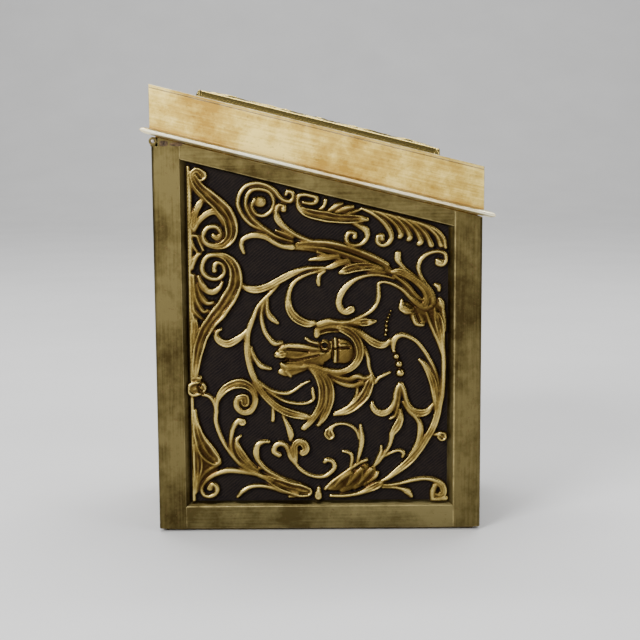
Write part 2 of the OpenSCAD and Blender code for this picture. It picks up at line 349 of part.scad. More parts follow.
// Half of the lid's growth, placed from its middle along the slope. The other half mirrors it.
lid_half = [
    [[0.4, -7, 0.8], [2, -5.6, 1.0], [2.8, -3.4, 1.1], [2, -1.2, 1.0], [0.3, -0.2, 1.2]],
    [[0.4, 7.6, 0.8], [1.8, 6, 1.0], [1.8, 3.6, 1.1], [0.4, 1.6, 1.2]],
    [[1.8, -5.6, 0.5], [4.2, -7.2, 0.9], [7.2, -7.6, 1.0], [10, -6.4, 1.0], [11.8, -4, 1.0],
     [11.6, -1, 1.0], [9.6, 0.8, 0.9], [7, 0.6, 0.9], [5.6, -1.4, 0.9], [6.4, -3.4, 0.9],
     [8.2, -3.4, 1.2], [8.5, -2.6, 1.3]],
    [[1.6, 5.6, 0.5], [4, 7.2, 0.9], [7, 7.8, 1.0], [10, 7, 1.0], [12.4, 5.2, 1.0], [13.8, 2.4, 1.0],
     [14.4, -0.8, 1.0], [15.6, -3.6, 0.9], [17.6, -4.6, 0.8], [18.9, -3.2, 0.7], [18.5, -1.6, 0.7],
     [17.1, -1.8, 1.0]],
    [[12.4, 5.4, 0.5], [14.4, 7.4, 0.9], [16.8, 7.8, 0.9], [18.5, 6.2, 0.8], [18.2, 4.2, 0.8],
     [16.6, 3.6, 0.8], [15.9, 4.8, 1.1]],
    [[11.2, -5.6, 0.5], [13.4, -7.4, 1.0], [16, -7.6, 0.9], [18.6, -7.9, 0.4]],
    [[4, 2.2, 0.3], [5.4, 3.4, 1.0], [7.6, 4, 1.1], [10.2, 3.4, 0.4]],
    [[3.4, 4.9, 0.3], [5.2, 5.4, 0.8], [7.4, 5.7, 0.3]],
    [[-0.1, -4.2, 1.5], [0.1, -4, 1.5]],
    [[0, -10.5, 0.8], [19.3, -10.5, 0.8]],
    [[19.3, -10.9, 0.8], [19.3, 10.9, 0.8]],
    [[0, 10.5, 0.8], [19.3, 10.5, 0.8]]
];

// ---------------------------------------------------------------- curves

function spline(a, b, c, d, t) =
    0.5 * ((2 * b) + (c - a) * t + (2 * a - 5 * b + 4 * c - d) * t * t
    + (3 * b - a - 3 * c + d) * t * t * t);

// The point at place i, with the ends repeated so that the curve starts and stops on them
function held(p, i) = p[max(0, min(len(p) - 1, i))];

function smooth_stem(p, steps) = concat(
    [for (i = [0 : len(p) - 2], s = [0 : steps - 1])
        spline(held(p, i - 1), p[i], p[i + 1], held(p, i + 2), s / steps)],
    [p[len(p) - 1]]
);

// The unit vector across the curve at place i
function across(p, i) =
    let (d = held(p, i + 1) - held(p, i - 1), n = norm([d[0], d[1]])) [-d[1] / n, d[0] / n];

function stem_side(p, side) = [
    for (i = [0 : len(p) - 1]) let (n = across(p, i)) [p[i][0], p[i][1]] + side * n * p[i][2] / 2
];

function reversed(p) = [for (i = [len(p) - 1 : -1 : 0]) p[i]];

function mirrored(stems) = [for (s = stems) [for (q = s) [-q[0], q[1], q[2]]]];

module stem(p) {
    curve = smooth_stem(p, stem_steps);
    polygon(concat(stem_side(curve, 1), reversed(stem_side(curve, -1))));
}

module stems(list) {
    for (s = list) stem(s);
}

// ---------------------------------------------------------------- helpers

// Everything under a plane that is parallel to the joint and passes through height z at x = 0
module under(z) {
    rotate([90, 0, 0])
        translate([0, 0, -far / 2])
            linear_extrude(far)
                polygon([[-far, -far], [far, -far], [far, z - far * rise], [-far, z + far * rise]]);
}

// A shape drawn as [across, up], stood up to face -Y with its back on the plane y
module facing_front(y, t) {
    translate([0, y, 0]) rotate([90, 0, 0]) linear_extrude(t) children();
}

// The same, facing +X with its back on the plane x; across then runs along Y
module facing_right(x, t) {
    translate([x, 0, 0]) rotate([90, 0, 90]) linear_extrude(t) children();
}

// The outline of a wide side between two planes parallel to the joint
module sloped_band(x0, x1, z_low, z_high) {
    polygon([
        [x0, z_low - x0 * rise], [x1, z_low - x1 * rise],
        [x1, z_high - x1 * rise], [x0, z_high - x0 * rise]
    ]);
}

// A plane of the lid, with its own x running down the slope and its own z square to it
module on_slope(z) {
    translate([0, 0, z]) rotate([0, slope, 0]) children();
}

// ---------------------------------------------------------------- the case

module base_plate() {
    color(brass)
        translate([-frame_in_x, -frame_in_y, 0]) cube([2 * frame_in_x, 2 * frame_in_y, base_t]);
}

module case_shell() {
    color(brass)
        difference() {
            intersection() {
                translate([-shell_out_x, -shell_out_y, base_t])
                    cube([2 * shell_out_x, 2 * shell_out_y, far]);
                under(joint_z + collar_h);
            }
            translate([-shell_in_x, -shell_in_y, -1]) cube([2 * shell_in_x, 2 * shell_in_y, far]);
        }
}

module rim_collar() {
    color(pale_brass)
        difference() {
            intersection() {
                translate([-collar_out_x, -collar_out_y, 0])
                    cube([2 * collar_out_x, 2 * collar_out_y, far]);
                under(joint_z + collar_h);
            }
            under(joint_z);
            translate([-shell_out_x, -shell_out_y, 0]) cube([2 * shell_out_x, 2 * shell_out_y, far]);
        }
}

module floor_lining() {
    side_clear = 0.1;
    color(velvet)
        translate([-shell_in_x + side_clear, -shell_in_y + side_clear, base_t])
            cube([2 * (shell_in_x - side_clear), 2 * (shell_in_y - side_clear), lining_t]);
}

// The dividers stop short of the joint so that a packet can be pinched and drawn out
divider_drop = 2;
divider_foot = base_t + lining_t;
slot_z = 30;
slot_w = divider_t + 0.1;

module divider_long() {
    color(brass)
        difference() {
            intersection() {
                translate([-shell_in_x, -divider_t / 2, divider_foot])
                    cube([2 * shell_in_x, divider_t, far]);
                under(joint_z - divider_drop);
            }
            translate([-slot_w / 2, -1, slot_z]) cube([slot_w, 2, far]);
        }
}

module divider_cross() {
    top = joint_z - divider_drop;
    color(brass)
        difference() {
            translate([-divider_t / 2, -shell_in_y, divider_foot])
                cube([divider_t, 2 * shell_in_y, top - divider_foot]);
            translate([-1, -slot_w / 2, 0]) cube([2, slot_w, slot_z]);
        }
}

// ---------------------------------------------------------------- the frame

// The plan of the corner post at +X, +Y, with bevelled edges and a rounded corner
module post_plan() {
    arc = [for (a = [0 : 22.5 : 90]) [hx - corner_r + corner_r * cos(a), hy - corner_r + corner_r * sin(a)]];
    polygon(concat(
        arc,
        [[hx - post_w, hy], [open_x, frame_in_y], [frame_in_x, frame_in_y],
         [frame_in_x, open_y], [hx, hy - post_w]]
    ));
}

module hinge_notch() {
    translate([-far + notch_x, -far / 2, notch_z]) cube([far, far, far]);
}

module post(mx, my) {
    color(brass)
        difference() {
            intersection() {
                translate([0, 0, foot_gap])
                    linear_extrude(far)
                        mirror([mx < 0 ? 1 : 0, 0]) mirror([0, my < 0 ? 1 : 0]) post_plan();
                under(joint_z);
            }
            if (mx < 0) hinge_notch();
        }
}

// The four posts as one solid block, for fitting the rails' ends to them
module post_block() {
    for (mx = [-1, 1], my = [-1, 1])
        translate([0, 0, -1])
            linear_extrude(far)
                mirror([mx < 0 ? 1 : 0, 0]) mirror([0, my < 0 ? 1 : 0]) post_plan();
}

// A rail's end view: its flat and bevel, with the outer face at 0 and the strip behind it.
// It is drawn as [depth, up], and "up" is the side the bevel is on.
module foot_profile() {
    polygon([[0, foot_gap], [0, foot_gap + foot_rail_h], [strip_t, foot_gap + foot_rail_h + 0.75 * bevel_w],
             [strip_t, foot_gap]]);
}

module foot_rail_wide(side) {
    color(brass)
        difference() {
            translate([-hx + post_w / 2, side * hy, 0])
                rotate([90, 0, 90])
                    linear_extrude(case_w - post_w) mirror([side > 0 ? 1 : 0, 0]) foot_profile();
            post_block();
        }
}

module foot_rail_narrow(side) {
    color(brass)
        difference() {
            translate([side * hx, hy - post_w / 2, 0])
                rotate([90, 0, 0])
                    linear_extrude(case_d - post_w) mirror([side > 0 ? 1 : 0, 0]) foot_profile();
            post_block();
        }
}

// The top rails' bevel is narrower than the rest
top_bevel = 0.3 * bevel_w;

module top_rail_wide(side) {
    skew = [[1, 0, 0, 0], [0, 1, 0, 0], [-rise, 0, 1, joint_z], [0, 0, 0, 1]];
    color(brass)
        difference() {
            translate([0, side * hy, 0])
                mirror([0, side > 0 ? 1 : 0, 0])
                    multmatrix(skew)
                        translate([-hx + post_w / 2, 0, 0])
                            rotate([90, 0, 90])
                                linear_extrude(case_w - post_w)
                                    polygon([[0, 0], [0, -top_rail_h],
                                             [strip_t, -top_rail_h - top_bevel], [strip_t, 0]]);
            post_block();
        }
}

module top_rail_narrow(side) {
    // The tall side's rail stops under the hinge; the low side's is cut to the joint plane
    top = side < 0 ? notch_z : joint_z - hx * rise;
    color(brass)
        difference() {
            translate([side * hx, hy - post_w / 2, top])
                rotate([90, 0, 0])
                    linear_extrude(case_d - post_w)
                        mirror([side > 0 ? 1 : 0, 0])
                            polygon([[0, 0], [0, -top_rail_h], [strip_t, -top_rail_h - top_bevel],
                                     [strip_t, 0]]);
            post_block();
        }
}

// ---------------------------------------------------------------- the stamped panels

panel_foot = base_t;
panel_side_gap = 0.1;

// A sheet for a wide side, cut to the joint plane at its top
module panel_wide(side) {
    half = frame_in_x - panel_side_gap;
    color(dark_panel)
        mirror([0, side > 0 ? 1 : 0, 0])
            facing_front(-shell_out_y, panel_t)
                polygon([[-half, panel_foot], [half, panel_foot],
                         [half, joint_z - half * rise], [-half, joint_z + half * rise]]);
}

module panel_narrow(side) {
    top = side < 0 ? notch_z : joint_z - hx * rise;
    half = frame_in_y - panel_side_gap - panel_t;
    color(dark_panel)
        mirror([side < 0 ? 1 : 0, 0, 0])
            facing_right(shell_out_x, panel_t)
                translate([-half, panel_foot]) square([2 * half, top - panel_foot]);
}

module scrolls_wide(side) {
    color(brass)
        mirror([0, side > 0 ? 1 : 0, 0])
            facing_front(-frame_in_y, relief_h) {
                stems(wide_stems);
                for (b = beads) translate([b[0], b[1]]) circle(b[2], $fn = 8);
            }
}

module scrolls_narrow(side) {
    growth = side < 0 ? concat(narrow_half, tall_half) : narrow_half;
    color(brass)
        mirror([side < 0 ? 1 : 0, 0, 0])
            facing_right(frame_in_x, relief_h) {
                stems(growth);
                stems(mirrored(growth));
            }
}

// ---------------------------------------------------------------- the hinge

// The knuckles whose numbers leave this remainder when halved, each with a leg that solders it down
module knuckles(odd, leg_low, leg_high) {
    for (i = [odd : 2 : knuckle_n - 1])
        translate([hinge_x, -knuckle_span / 2 + i * knuckle_l + knuckle_gap / 2, hinge_z])
            difference() {
                union() {
                    rotate([-90, 0, 0]) cylinder(r = knuckle_r, h = knuckle_l - knuckle_gap, $fn = 48);
                    translate([-leg_w / 2, 0, leg_low])
                        cube([leg_w, knuckle_l - knuckle_gap, leg_high - leg_low]);
                }
                translate([0, -1, 0])
                    rotate([-90, 0, 0]) cylinder(r = pin_r + bore_clear, h = knuckle_l + 2, $fn = 48);
            }
}

module hinge_knuckles_case() {
    color(brass) knuckles(0, notch_z - hinge_z, 0);
}

module hinge_knuckles_lid() {
    color(brass)
        intersection() {
            knuckles(1, 0, 3);
            under(rim_under_z);
        }
}

module hinge_pin() {
    color(steel)
        translate([hinge_x, -knuckle_span / 2, hinge_z])
            rotate([-90, 0, 0]) cylinder(r = pin_r, h = knuckle_span, $fn = 48);
}

// ---------------------------------------------------------------- the lid

module lid_wall_wide(side) {
    y = side > 0 ? lid_y : -lid_y + lid_wall_t;
    color(pale_brass)
        facing_front(y, lid_wall_t) sloped_band(-lid_x, lid_x, rim_top_z, plate_under_z);
}

module lid_wall_narrow(side) {
    color(pale_brass)
        difference() {
            intersection() {
                translate([side > 0 ? lid_x - lid_wall_t : -lid_x, -lid_y + lid_wall_t, 0])
                    cube([lid_wall_t, 2 * (lid_y - lid_wall_t), far]);
                under(plate_under_z);
            }
            under(rim_top_z);
        }
}

module lid_top_frame() {
    color(pale_brass)
        difference() {
            intersection() {
                translate([-lid_x, -lid_y, 0]) cube([2 * lid_x, 2 * lid_y, far]);
                under(top_z);
            }
            under(plate_under_z);
            translate([-lid_open_x, -lid_open_y, 0]) cube([2 * lid_open_x, 2 * lid_open_y, far]);
        }
}

// How far the lid's panel reaches under the frame round it
lid_panel_lap = 1.5;

module lid_panel() {
    half_x = (lid_open_x + lid_panel_lap) / cos(slope);
    half_y = lid_open_y + lid_panel_lap;
    color(dark_panel)
        on_slope(plate_under_z)
            translate([-half_x, -half_y, -panel_t]) cube([2 * half_x, 2 * half_y, panel_t]);
}

module lid_scrolls() {
    color(brass)
        on_slope(plate_under_z)
            linear_extrude(lid_relief_h) {
                stems(lid_half);
                stems(mirrored(lid_half));
            }
}

// The rim's end view: [out, up] from the wall's face, a half ellipse outside and square inside
module rim_profile(inward) {
    half_t = rim_t / 2;
    nose = [for (a = [-90 : 15 : 90]) [rim_out * cos(a), half_t + half_t * sin(a)]];
    polygon(concat([[-inward, 0]], nose, [[-inward, rim_t]]));
}

// A mitred strip of the rim: its length runs along X, and it faces -Y at the distance given
module rim_strip(half_l, half_w) {
    inward = lid_wall_t;
    reach = half_l + rim_out;
    intersection() {
        translate([-reach, -half_w, 0])
            rotate([90, 0, 90])
                linear_extrude(2 * reach) mirror([1, 0]) rim_profile(inward);
        translate([0, 0, -1])
            linear_extrude(far)
                polygon([[-half_l - rim_out, -half_w - rim_out], [half_l + rim_out, -half_w - rim_out],
                         [half_l - inward, -half_w + inward], [-half_l + inward, -half_w + inward]]);
    }
}

// Half sizes of the rim in its own plane, where the slope makes the lid longer
rim_x = lid_x / cos(slope);
rim_square = joint_gap * cos(slope);

module lid_rim(side) {
    wide = side == "front" || side == "back";
    turn = side == "front" ? 0 : side == "right" ? 90 : side == "back" ? 180 : 270;
    inner_x = lid_x - lid_wall_t;
    inner_y = lid_y - lid_wall_t;
    color(pale_brass)
        difference() {
            on_slope(joint_z)
                translate([0, 0, rim_square])
                    rotate([0, 0, turn])
                        rim_strip(wide ? rim_x : lid_y, wide ? lid_y : rim_x);
            translate([-inner_x, -inner_y, 0]) cube([2 * inner_x, 2 * inner_y, far]);
        }
}

// ---------------------------------------------------------------- nodes

base_plate();
case_shell();
rim_collar();
floor_lining();
divider_long();
divider_cross();
post(-1, -1);  // post_front_left
post(1, -1);  // post_front_right
post(-1, 1);  // post_back_left
post(1, 1);  // post_back_right
foot_rail_wide(-1);  // foot_rail_front
foot_rail_wide(1);  // foot_rail_back
foot_rail_narrow(-1);  // foot_rail_left
foot_rail_narrow(1);  // foot_rail_right
top_rail_wide(-1);  // top_rail_front
top_rail_wide(1);  // top_rail_back
top_rail_narrow(-1);  // top_rail_left
top_rail_narrow(1);  // top_rail_right
panel_wide(-1);  // panel_front
panel_wide(1);  // panel_back
panel_narrow(-1);  // panel_left
panel_narrow(1);  // panel_right
scrolls_wide(-1);  // scrolls_front
scrolls_wide(1);  // scrolls_back
scrolls_narrow(-1);  // scrolls_left
scrolls_narrow(1);  // scrolls_right
hinge_knuckles_case();
hinge_knuckles_lid();
hinge_pin();
lid_wall_wide(-1);  // lid_wall_front
lid_wall_wide(1);  // lid_wall_back
lid_wall_narrow(-1);  // lid_wall_left
lid_wall_narrow(1);  // lid_wall_right
lid_top_frame();
lid_panel();
lid_scrolls();
lid_rim("front");  // lid_rim_front
lid_rim("back");  // lid_rim_back
lid_rim("left");  // lid_rim_left
lid_rim("right");  // lid_rim_right
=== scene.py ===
"""The looks of a slope-topped brass needle case: worn brass strips, stamped scrollwork and a hinged lid."""

import math

import bmesh
import bpy
import numpy as np
from mathutils import Matrix, Vector


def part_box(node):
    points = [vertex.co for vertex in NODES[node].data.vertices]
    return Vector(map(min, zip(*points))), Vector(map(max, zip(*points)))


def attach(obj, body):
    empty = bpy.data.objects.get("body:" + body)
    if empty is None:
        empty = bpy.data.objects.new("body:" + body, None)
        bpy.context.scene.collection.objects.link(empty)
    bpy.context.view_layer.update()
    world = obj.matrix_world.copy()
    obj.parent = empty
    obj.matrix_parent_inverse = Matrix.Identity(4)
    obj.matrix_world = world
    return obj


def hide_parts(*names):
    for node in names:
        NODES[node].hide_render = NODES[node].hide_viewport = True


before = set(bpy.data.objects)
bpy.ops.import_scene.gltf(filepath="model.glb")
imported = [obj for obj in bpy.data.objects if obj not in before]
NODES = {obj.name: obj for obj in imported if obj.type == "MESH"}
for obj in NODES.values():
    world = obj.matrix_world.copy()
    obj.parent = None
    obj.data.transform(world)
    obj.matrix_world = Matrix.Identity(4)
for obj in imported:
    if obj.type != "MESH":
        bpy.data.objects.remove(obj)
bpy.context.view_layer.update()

MM = 0.001
SLOPE = math.radians(14)  # the lid's slope, down from the hinge side
RISE = math.tan(SLOPE)


def box_mm(node):
    """Lowest and highest corner of a CAD node, in millimetres."""
    low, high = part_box(node)
    return [v * 1000 for v in low], [v * 1000 for v in high]


# ------------------------------------------------------------------ ornament
# Each stem is a row of across, up and width in millimetres for one point after another of a smooth curve.

CORNER_LEAF = [
    [-17.9, 56.3, 1.6, -18.6, 56.9, 1.2, -19.2, 56.3, 1, -18.4, 54.8, 1.3, -17, 53.4, 1.7, -15.5, 52, 2,
     -14.1, 50.4, 2.1, -13.4, 48.6, 2, -13.5, 46.9, 1.7, -14.5, 45.7, 1.2, -16, 45.4, 0.9, -17.4, 46, 0.8,
     -17.8, 47.2, 0.7, -17, 48.3, 0.7, -15.7, 48.4, 0.7, -15, 47.4, 0.7, -15.5, 46.7, 0.9, -16.1, 47, 0.8],
    [-19.6, 55.4, 0.5, -18.6, 54, 0.8, -17.4, 52.8, 0.8, -16.2, 51.4, 0.3],
    [-19.2, 48.5, 1, -18.9, 50.5, 0.9, -18.2, 52, 0.9, -17.5, 52.9, 0.4],
    [-19.2, 47.9, 0.7, -18.4, 49.3, 0.8, -17, 50.5, 0.9, -15.7, 50.7, 0.9, -14.9, 49.6, 0.7,
     -14.6, 48.6, 0.3],
    [-19.7, 57, 0.4, -19.7, 52, 0.5, -19.7, 47, 0.5, -19.7, 42, 0.4],
    [-19.7, 47.1, 0.5, -18.7, 47, 0.5, -18.4, 46.2, 0.4, -17.8, 44.8, 0.3],
    [-19.6, 46.3, 0.5, -19.3, 45.4, 0.4, -18.8, 44.6, 0.3],
    [-18.3, 44.3, 0.5, -18.9, 43.8, 0.7, -19.4, 42.8, 0.7, -19.6, 42, 0.5],
    [-16.1, 41.6, 0.7, -16.1, 42.4, 0.7, -15.5, 42.9, 0.6, -14.7, 42.4, 0.6, -14.6, 41.3, 0.6,
     -15.4, 40.4, 0.6, -16.7, 40.4, 0.7, -17.8, 41.2, 0.7, -18, 42.6, 0.7, -17.2, 43.8, 0.7,
     -15.8, 44.1, 0.8, -14.3, 43.7, 1.1, -13.2, 42.5, 1.5, -12.8, 41, 1.9, -13, 39.2, 2.1, -14, 37.2, 2.2,
     -15.4, 35.2, 2.2, -16.9, 33.4, 2, -18.1, 31.4, 1.8, -18.8, 29.2, 1.6, -19.2, 27, 1.2, -19.4, 25, 0.8],
    [-18.6, 40.7, 0.5, -18.1, 39.4, 0.9, -17.3, 38.5, 0.9, -16.3, 38.3, 0.9, -15.4, 38.9, 0.7,
     -14.9, 39.8, 0.3],
    [-18.9, 39.5, 0.4, -18.3, 37.7, 0.8, -17.4, 36.6, 0.8, -16.5, 36.6, 0.6],
    [-19.4, 40.9, 0.5, -19.2, 38, 0.7, -18.6, 36.2, 0.7, -17.9, 35.2, 0.6, -17.2, 35.4, 0.4],
    [-19.6, 41, 0.4, -19.5, 36, 0.6, -18.9, 34.8, 0.6, -18.2, 34.1, 0.3],
    [-19.7, 35, 0.5, -19.3, 33, 1.1, -19.5, 31, 0.7, -19.7, 28, 0.4],
]
KNOT_AND_FOOT = [
    [-19.7, 24.7, 0.7, -18.7, 24.7, 0.7],
    [-19.6, 22.9, 2.2, -19, 23.1, 2.2, -18.4, 23.1, 1.4],
    [-18.3, 22.1, 0.5, -17.3, 21.8, 0.6, -16.6, 21, 0.6, -16.2, 19.7, 0.6, -16.3, 18, 0.6, -15.8, 16, 0.6,
     -14.9, 14, 0.6, -13.5, 12, 0.7, -11.9, 10.4, 0.8, -9.8, 9.2, 0.8, -7.5, 8.2, 0.8],
    [-16.2, 19.8, 0.5, -16, 21.2, 0.8, -15.1, 22.6, 1.1, -13.8, 23.5, 1.3, -12.2, 23.8, 1.4,
     -10.8, 23.2, 1.2, -10.1, 22, 0.9, -10.1, 20.7, 0.9, -10.8, 19.4, 0.9, -12, 19.2, 0.9, -12.9, 20.1, 0.9,
     -12.8, 21.3, 0.9, -11.7, 21.5, 1.2, -11.6, 20.7, 1.2],
    [-19.6, 19.5, 0.5, -19.3, 16.8, 1.1, -18.6, 14.4, 2, -17.6, 12.6, 2.6, -16.6, 11.6, 1.8],
    [-19.5, 14, 0.8, -19.2, 11, 1.4, -19.4, 8.5, 0.9, -19.7, 6.2, 0.4],
    [-15.8, 11.8, 0.4, -15.9, 11, 0.6, -17, 10.3, 0.7, -18.2, 9.4, 0.6, -19.1, 8, 0.5, -19.5, 6.4, 0.3],
    [-7.5, 8.4, 0.6, -9.6, 9.1, 0.7, -12, 9.6, 0.8, -14.4, 9.8, 0.8, -16.4, 9.2, 0.7, -17.9, 8.2, 0.6,
     -18.7, 7, 0.5, -18.4, 5.9, 0.5, -17.4, 5.6, 0.6, -16.5, 6.1, 0.7, -16.3, 7, 0.7, -16.9, 7.6, 0.7,
     -17.4, 7, 0.9],
    [-13, 5.5, 0.3, -12.3, 6.3, 0.6, -11, 7.1, 0.6, -9.3, 7.3, 0.6, -7.5, 7, 0.7, -5.5, 6.4, 0.8,
     -3.5, 6, 0.8],
    [-8.7, 8.8, 0.8, -6.8, 7.8, 1.4, -4.8, 7, 1.9, -3, 6.5, 2, -1.9, 6.3, 1.4],
    [-4.8, 5.5, 0.3, -1.8, 5.5, 0.3],
    [-8, 14.4, 0.4, -8.9, 14.4, 0.6, -9.7, 13.9, 0.8, -10, 12.9, 0.9, -9.8, 11.7, 0.8, -9.1, 10.6, 0.7,
     -8, 9.6, 0.7, -6.2, 8.6, 0.6, -4.4, 7.9, 0.6, -3, 7.5, 0.4],
    [-9.8, 10.1, 0.4, -9.1, 10.2, 0.5],
    [-10.4, 10.2, 0.7, -12.2, 10.9, 0.6, -13.3, 12, 0.6, -13.9, 13.5, 0.6, -13.9, 15.2, 0.6,
     -13.5, 16.8, 0.7, -12.7, 17.8, 0.8, -12.1, 17.6, 1.1],
    [-12.4, 15.4, 0.2, -13.1, 14.6, 0.6, -12.8, 13.4, 1, -12.1, 12.2, 1.1, -11.1, 11, 0.9, -9.8, 9.9, 0.6],
    [-0.1, 6.9, 0.4, -0.2, 6, 0.9, -0.2, 5.5, 1],
]
GREAT_RING = [
    [1, 42, 0.4, -1.5, 41.9, 0.6, -3.5, 41.3, 0.9, -5, 40.6, 1, -6.5, 39.8, 1, -8, 39, 1, -9.6, 38.6, 1.1,
     -11, 38.8, 0.9, -11.9, 39.4, 0.6],
    [-6, 39.6, 0.4, -7.2, 38.3, 0.5, -8.5, 37, 0.6, -9.5, 35.8, 0.6, -10.1, 34.4, 0.7, -10.7, 33, 0.8,
     -11.1, 31.6, 0.8, -11.2, 30, 0.9, -11.1, 28.3, 0.9, -10.8, 26.6, 0.9, -10.3, 25, 0.9, -9.6, 23.5, 0.9,
     -8.7, 22.1, 1, -7.5, 20.8, 1, -6.1, 19.7, 1.1, -4.5, 19, 1.2, -3, 18.6, 1.1, -1.5, 18.3, 0.8],
    [-10.8, 32.7, 0.5, -11.8, 31.5, 0.8, -13, 30.6, 1, -14.3, 30.1, 1.1, -15.4, 30.5, 1, -16, 31.3, 0.8,
     -15.9, 32, 0.6, -15.3, 32.4, 0.4],
    [-8, 37.3, 0.4, -8.7, 36, 0.5, -8.9, 34.5, 0.6, -8.7, 33, 0.6, -8.3, 31.8, 0.6, -7.6, 30.8, 0.7,
     -6.8, 30.1, 0.8, -5.8, 30.2, 0.5],
    [-7.9, 37.2, 0.3, -8, 35.6, 0.6, -7.7, 34.6, 0.8, -7.1, 33.9, 0.8, -6.4, 33.3, 0.4],
    [-10.6, 29.5, 0.4, -10.3, 28.4, 0.6, -9.7, 27.3, 0.7, -8.9, 26.5, 0.8, -7.6, 26.1, 0.4],
    [-9.7, 24.3, 0.4, -8.6, 23.3, 0.5, -7.4, 22.6, 0.5, -6, 22.2, 0.5, -4.8, 22.2, 0.5, -3.8, 22.7, 0.4,
     -2.7, 23.5, 0.3, -1.5, 24.1, 0.2],
    [-8.1, 22.6, 0.4, -6.9, 21.8, 0.5, -5.5, 21, 0.5, -4, 20.6, 0.4, -2.5, 20.5, 0.4, -1.3, 20.8, 0.4,
     -0.8, 21.4, 0.5, -0.9, 22.2, 0.5, -1, 23, 0.2],
    [-7.3, 20.2, 0.4, -7.2, 19, 0.4, -7.3, 17.8, 0.4],
    [-5.9, 19.3, 0.4, -5.4, 18, 0.5, -4.8, 16.7, 0.8, -4.5, 15.6, 0.9, -4.5, 14.7, 0.6],
    [-6.4, 12.3, 0.8, -7.1, 12.8, 0.8, -7, 13.6, 0.8, -6.2, 14.1, 0.8, -5.3, 13.8, 0.8, -4.8, 12.9, 0.8,
     -4.4, 11.9, 0.9, -3.8, 10.9, 0.6],
    [-2.6, 12.6, 0.98, -2.1, 13, 0.98, -2.3, 13.9, 1.12, -3.2, 14.4, 0.98, -3.9, 13.7, 0.98,
     -3.9, 12.6, 0.98, -3.8, 11.3, 0.7],
    [-3.9, 11, 0.4, -3, 9.9, 0.5, -1.8, 9.1, 0.5, -0.4, 8.7, 0.5, 0.9, 8.8, 0.6, 1.9, 9.5, 0.7,
     2.4, 10.4, 0.7, 2, 11.2, 0.6, 1.2, 11.4, 0.6, 0.9, 11.1, 0.5],
]
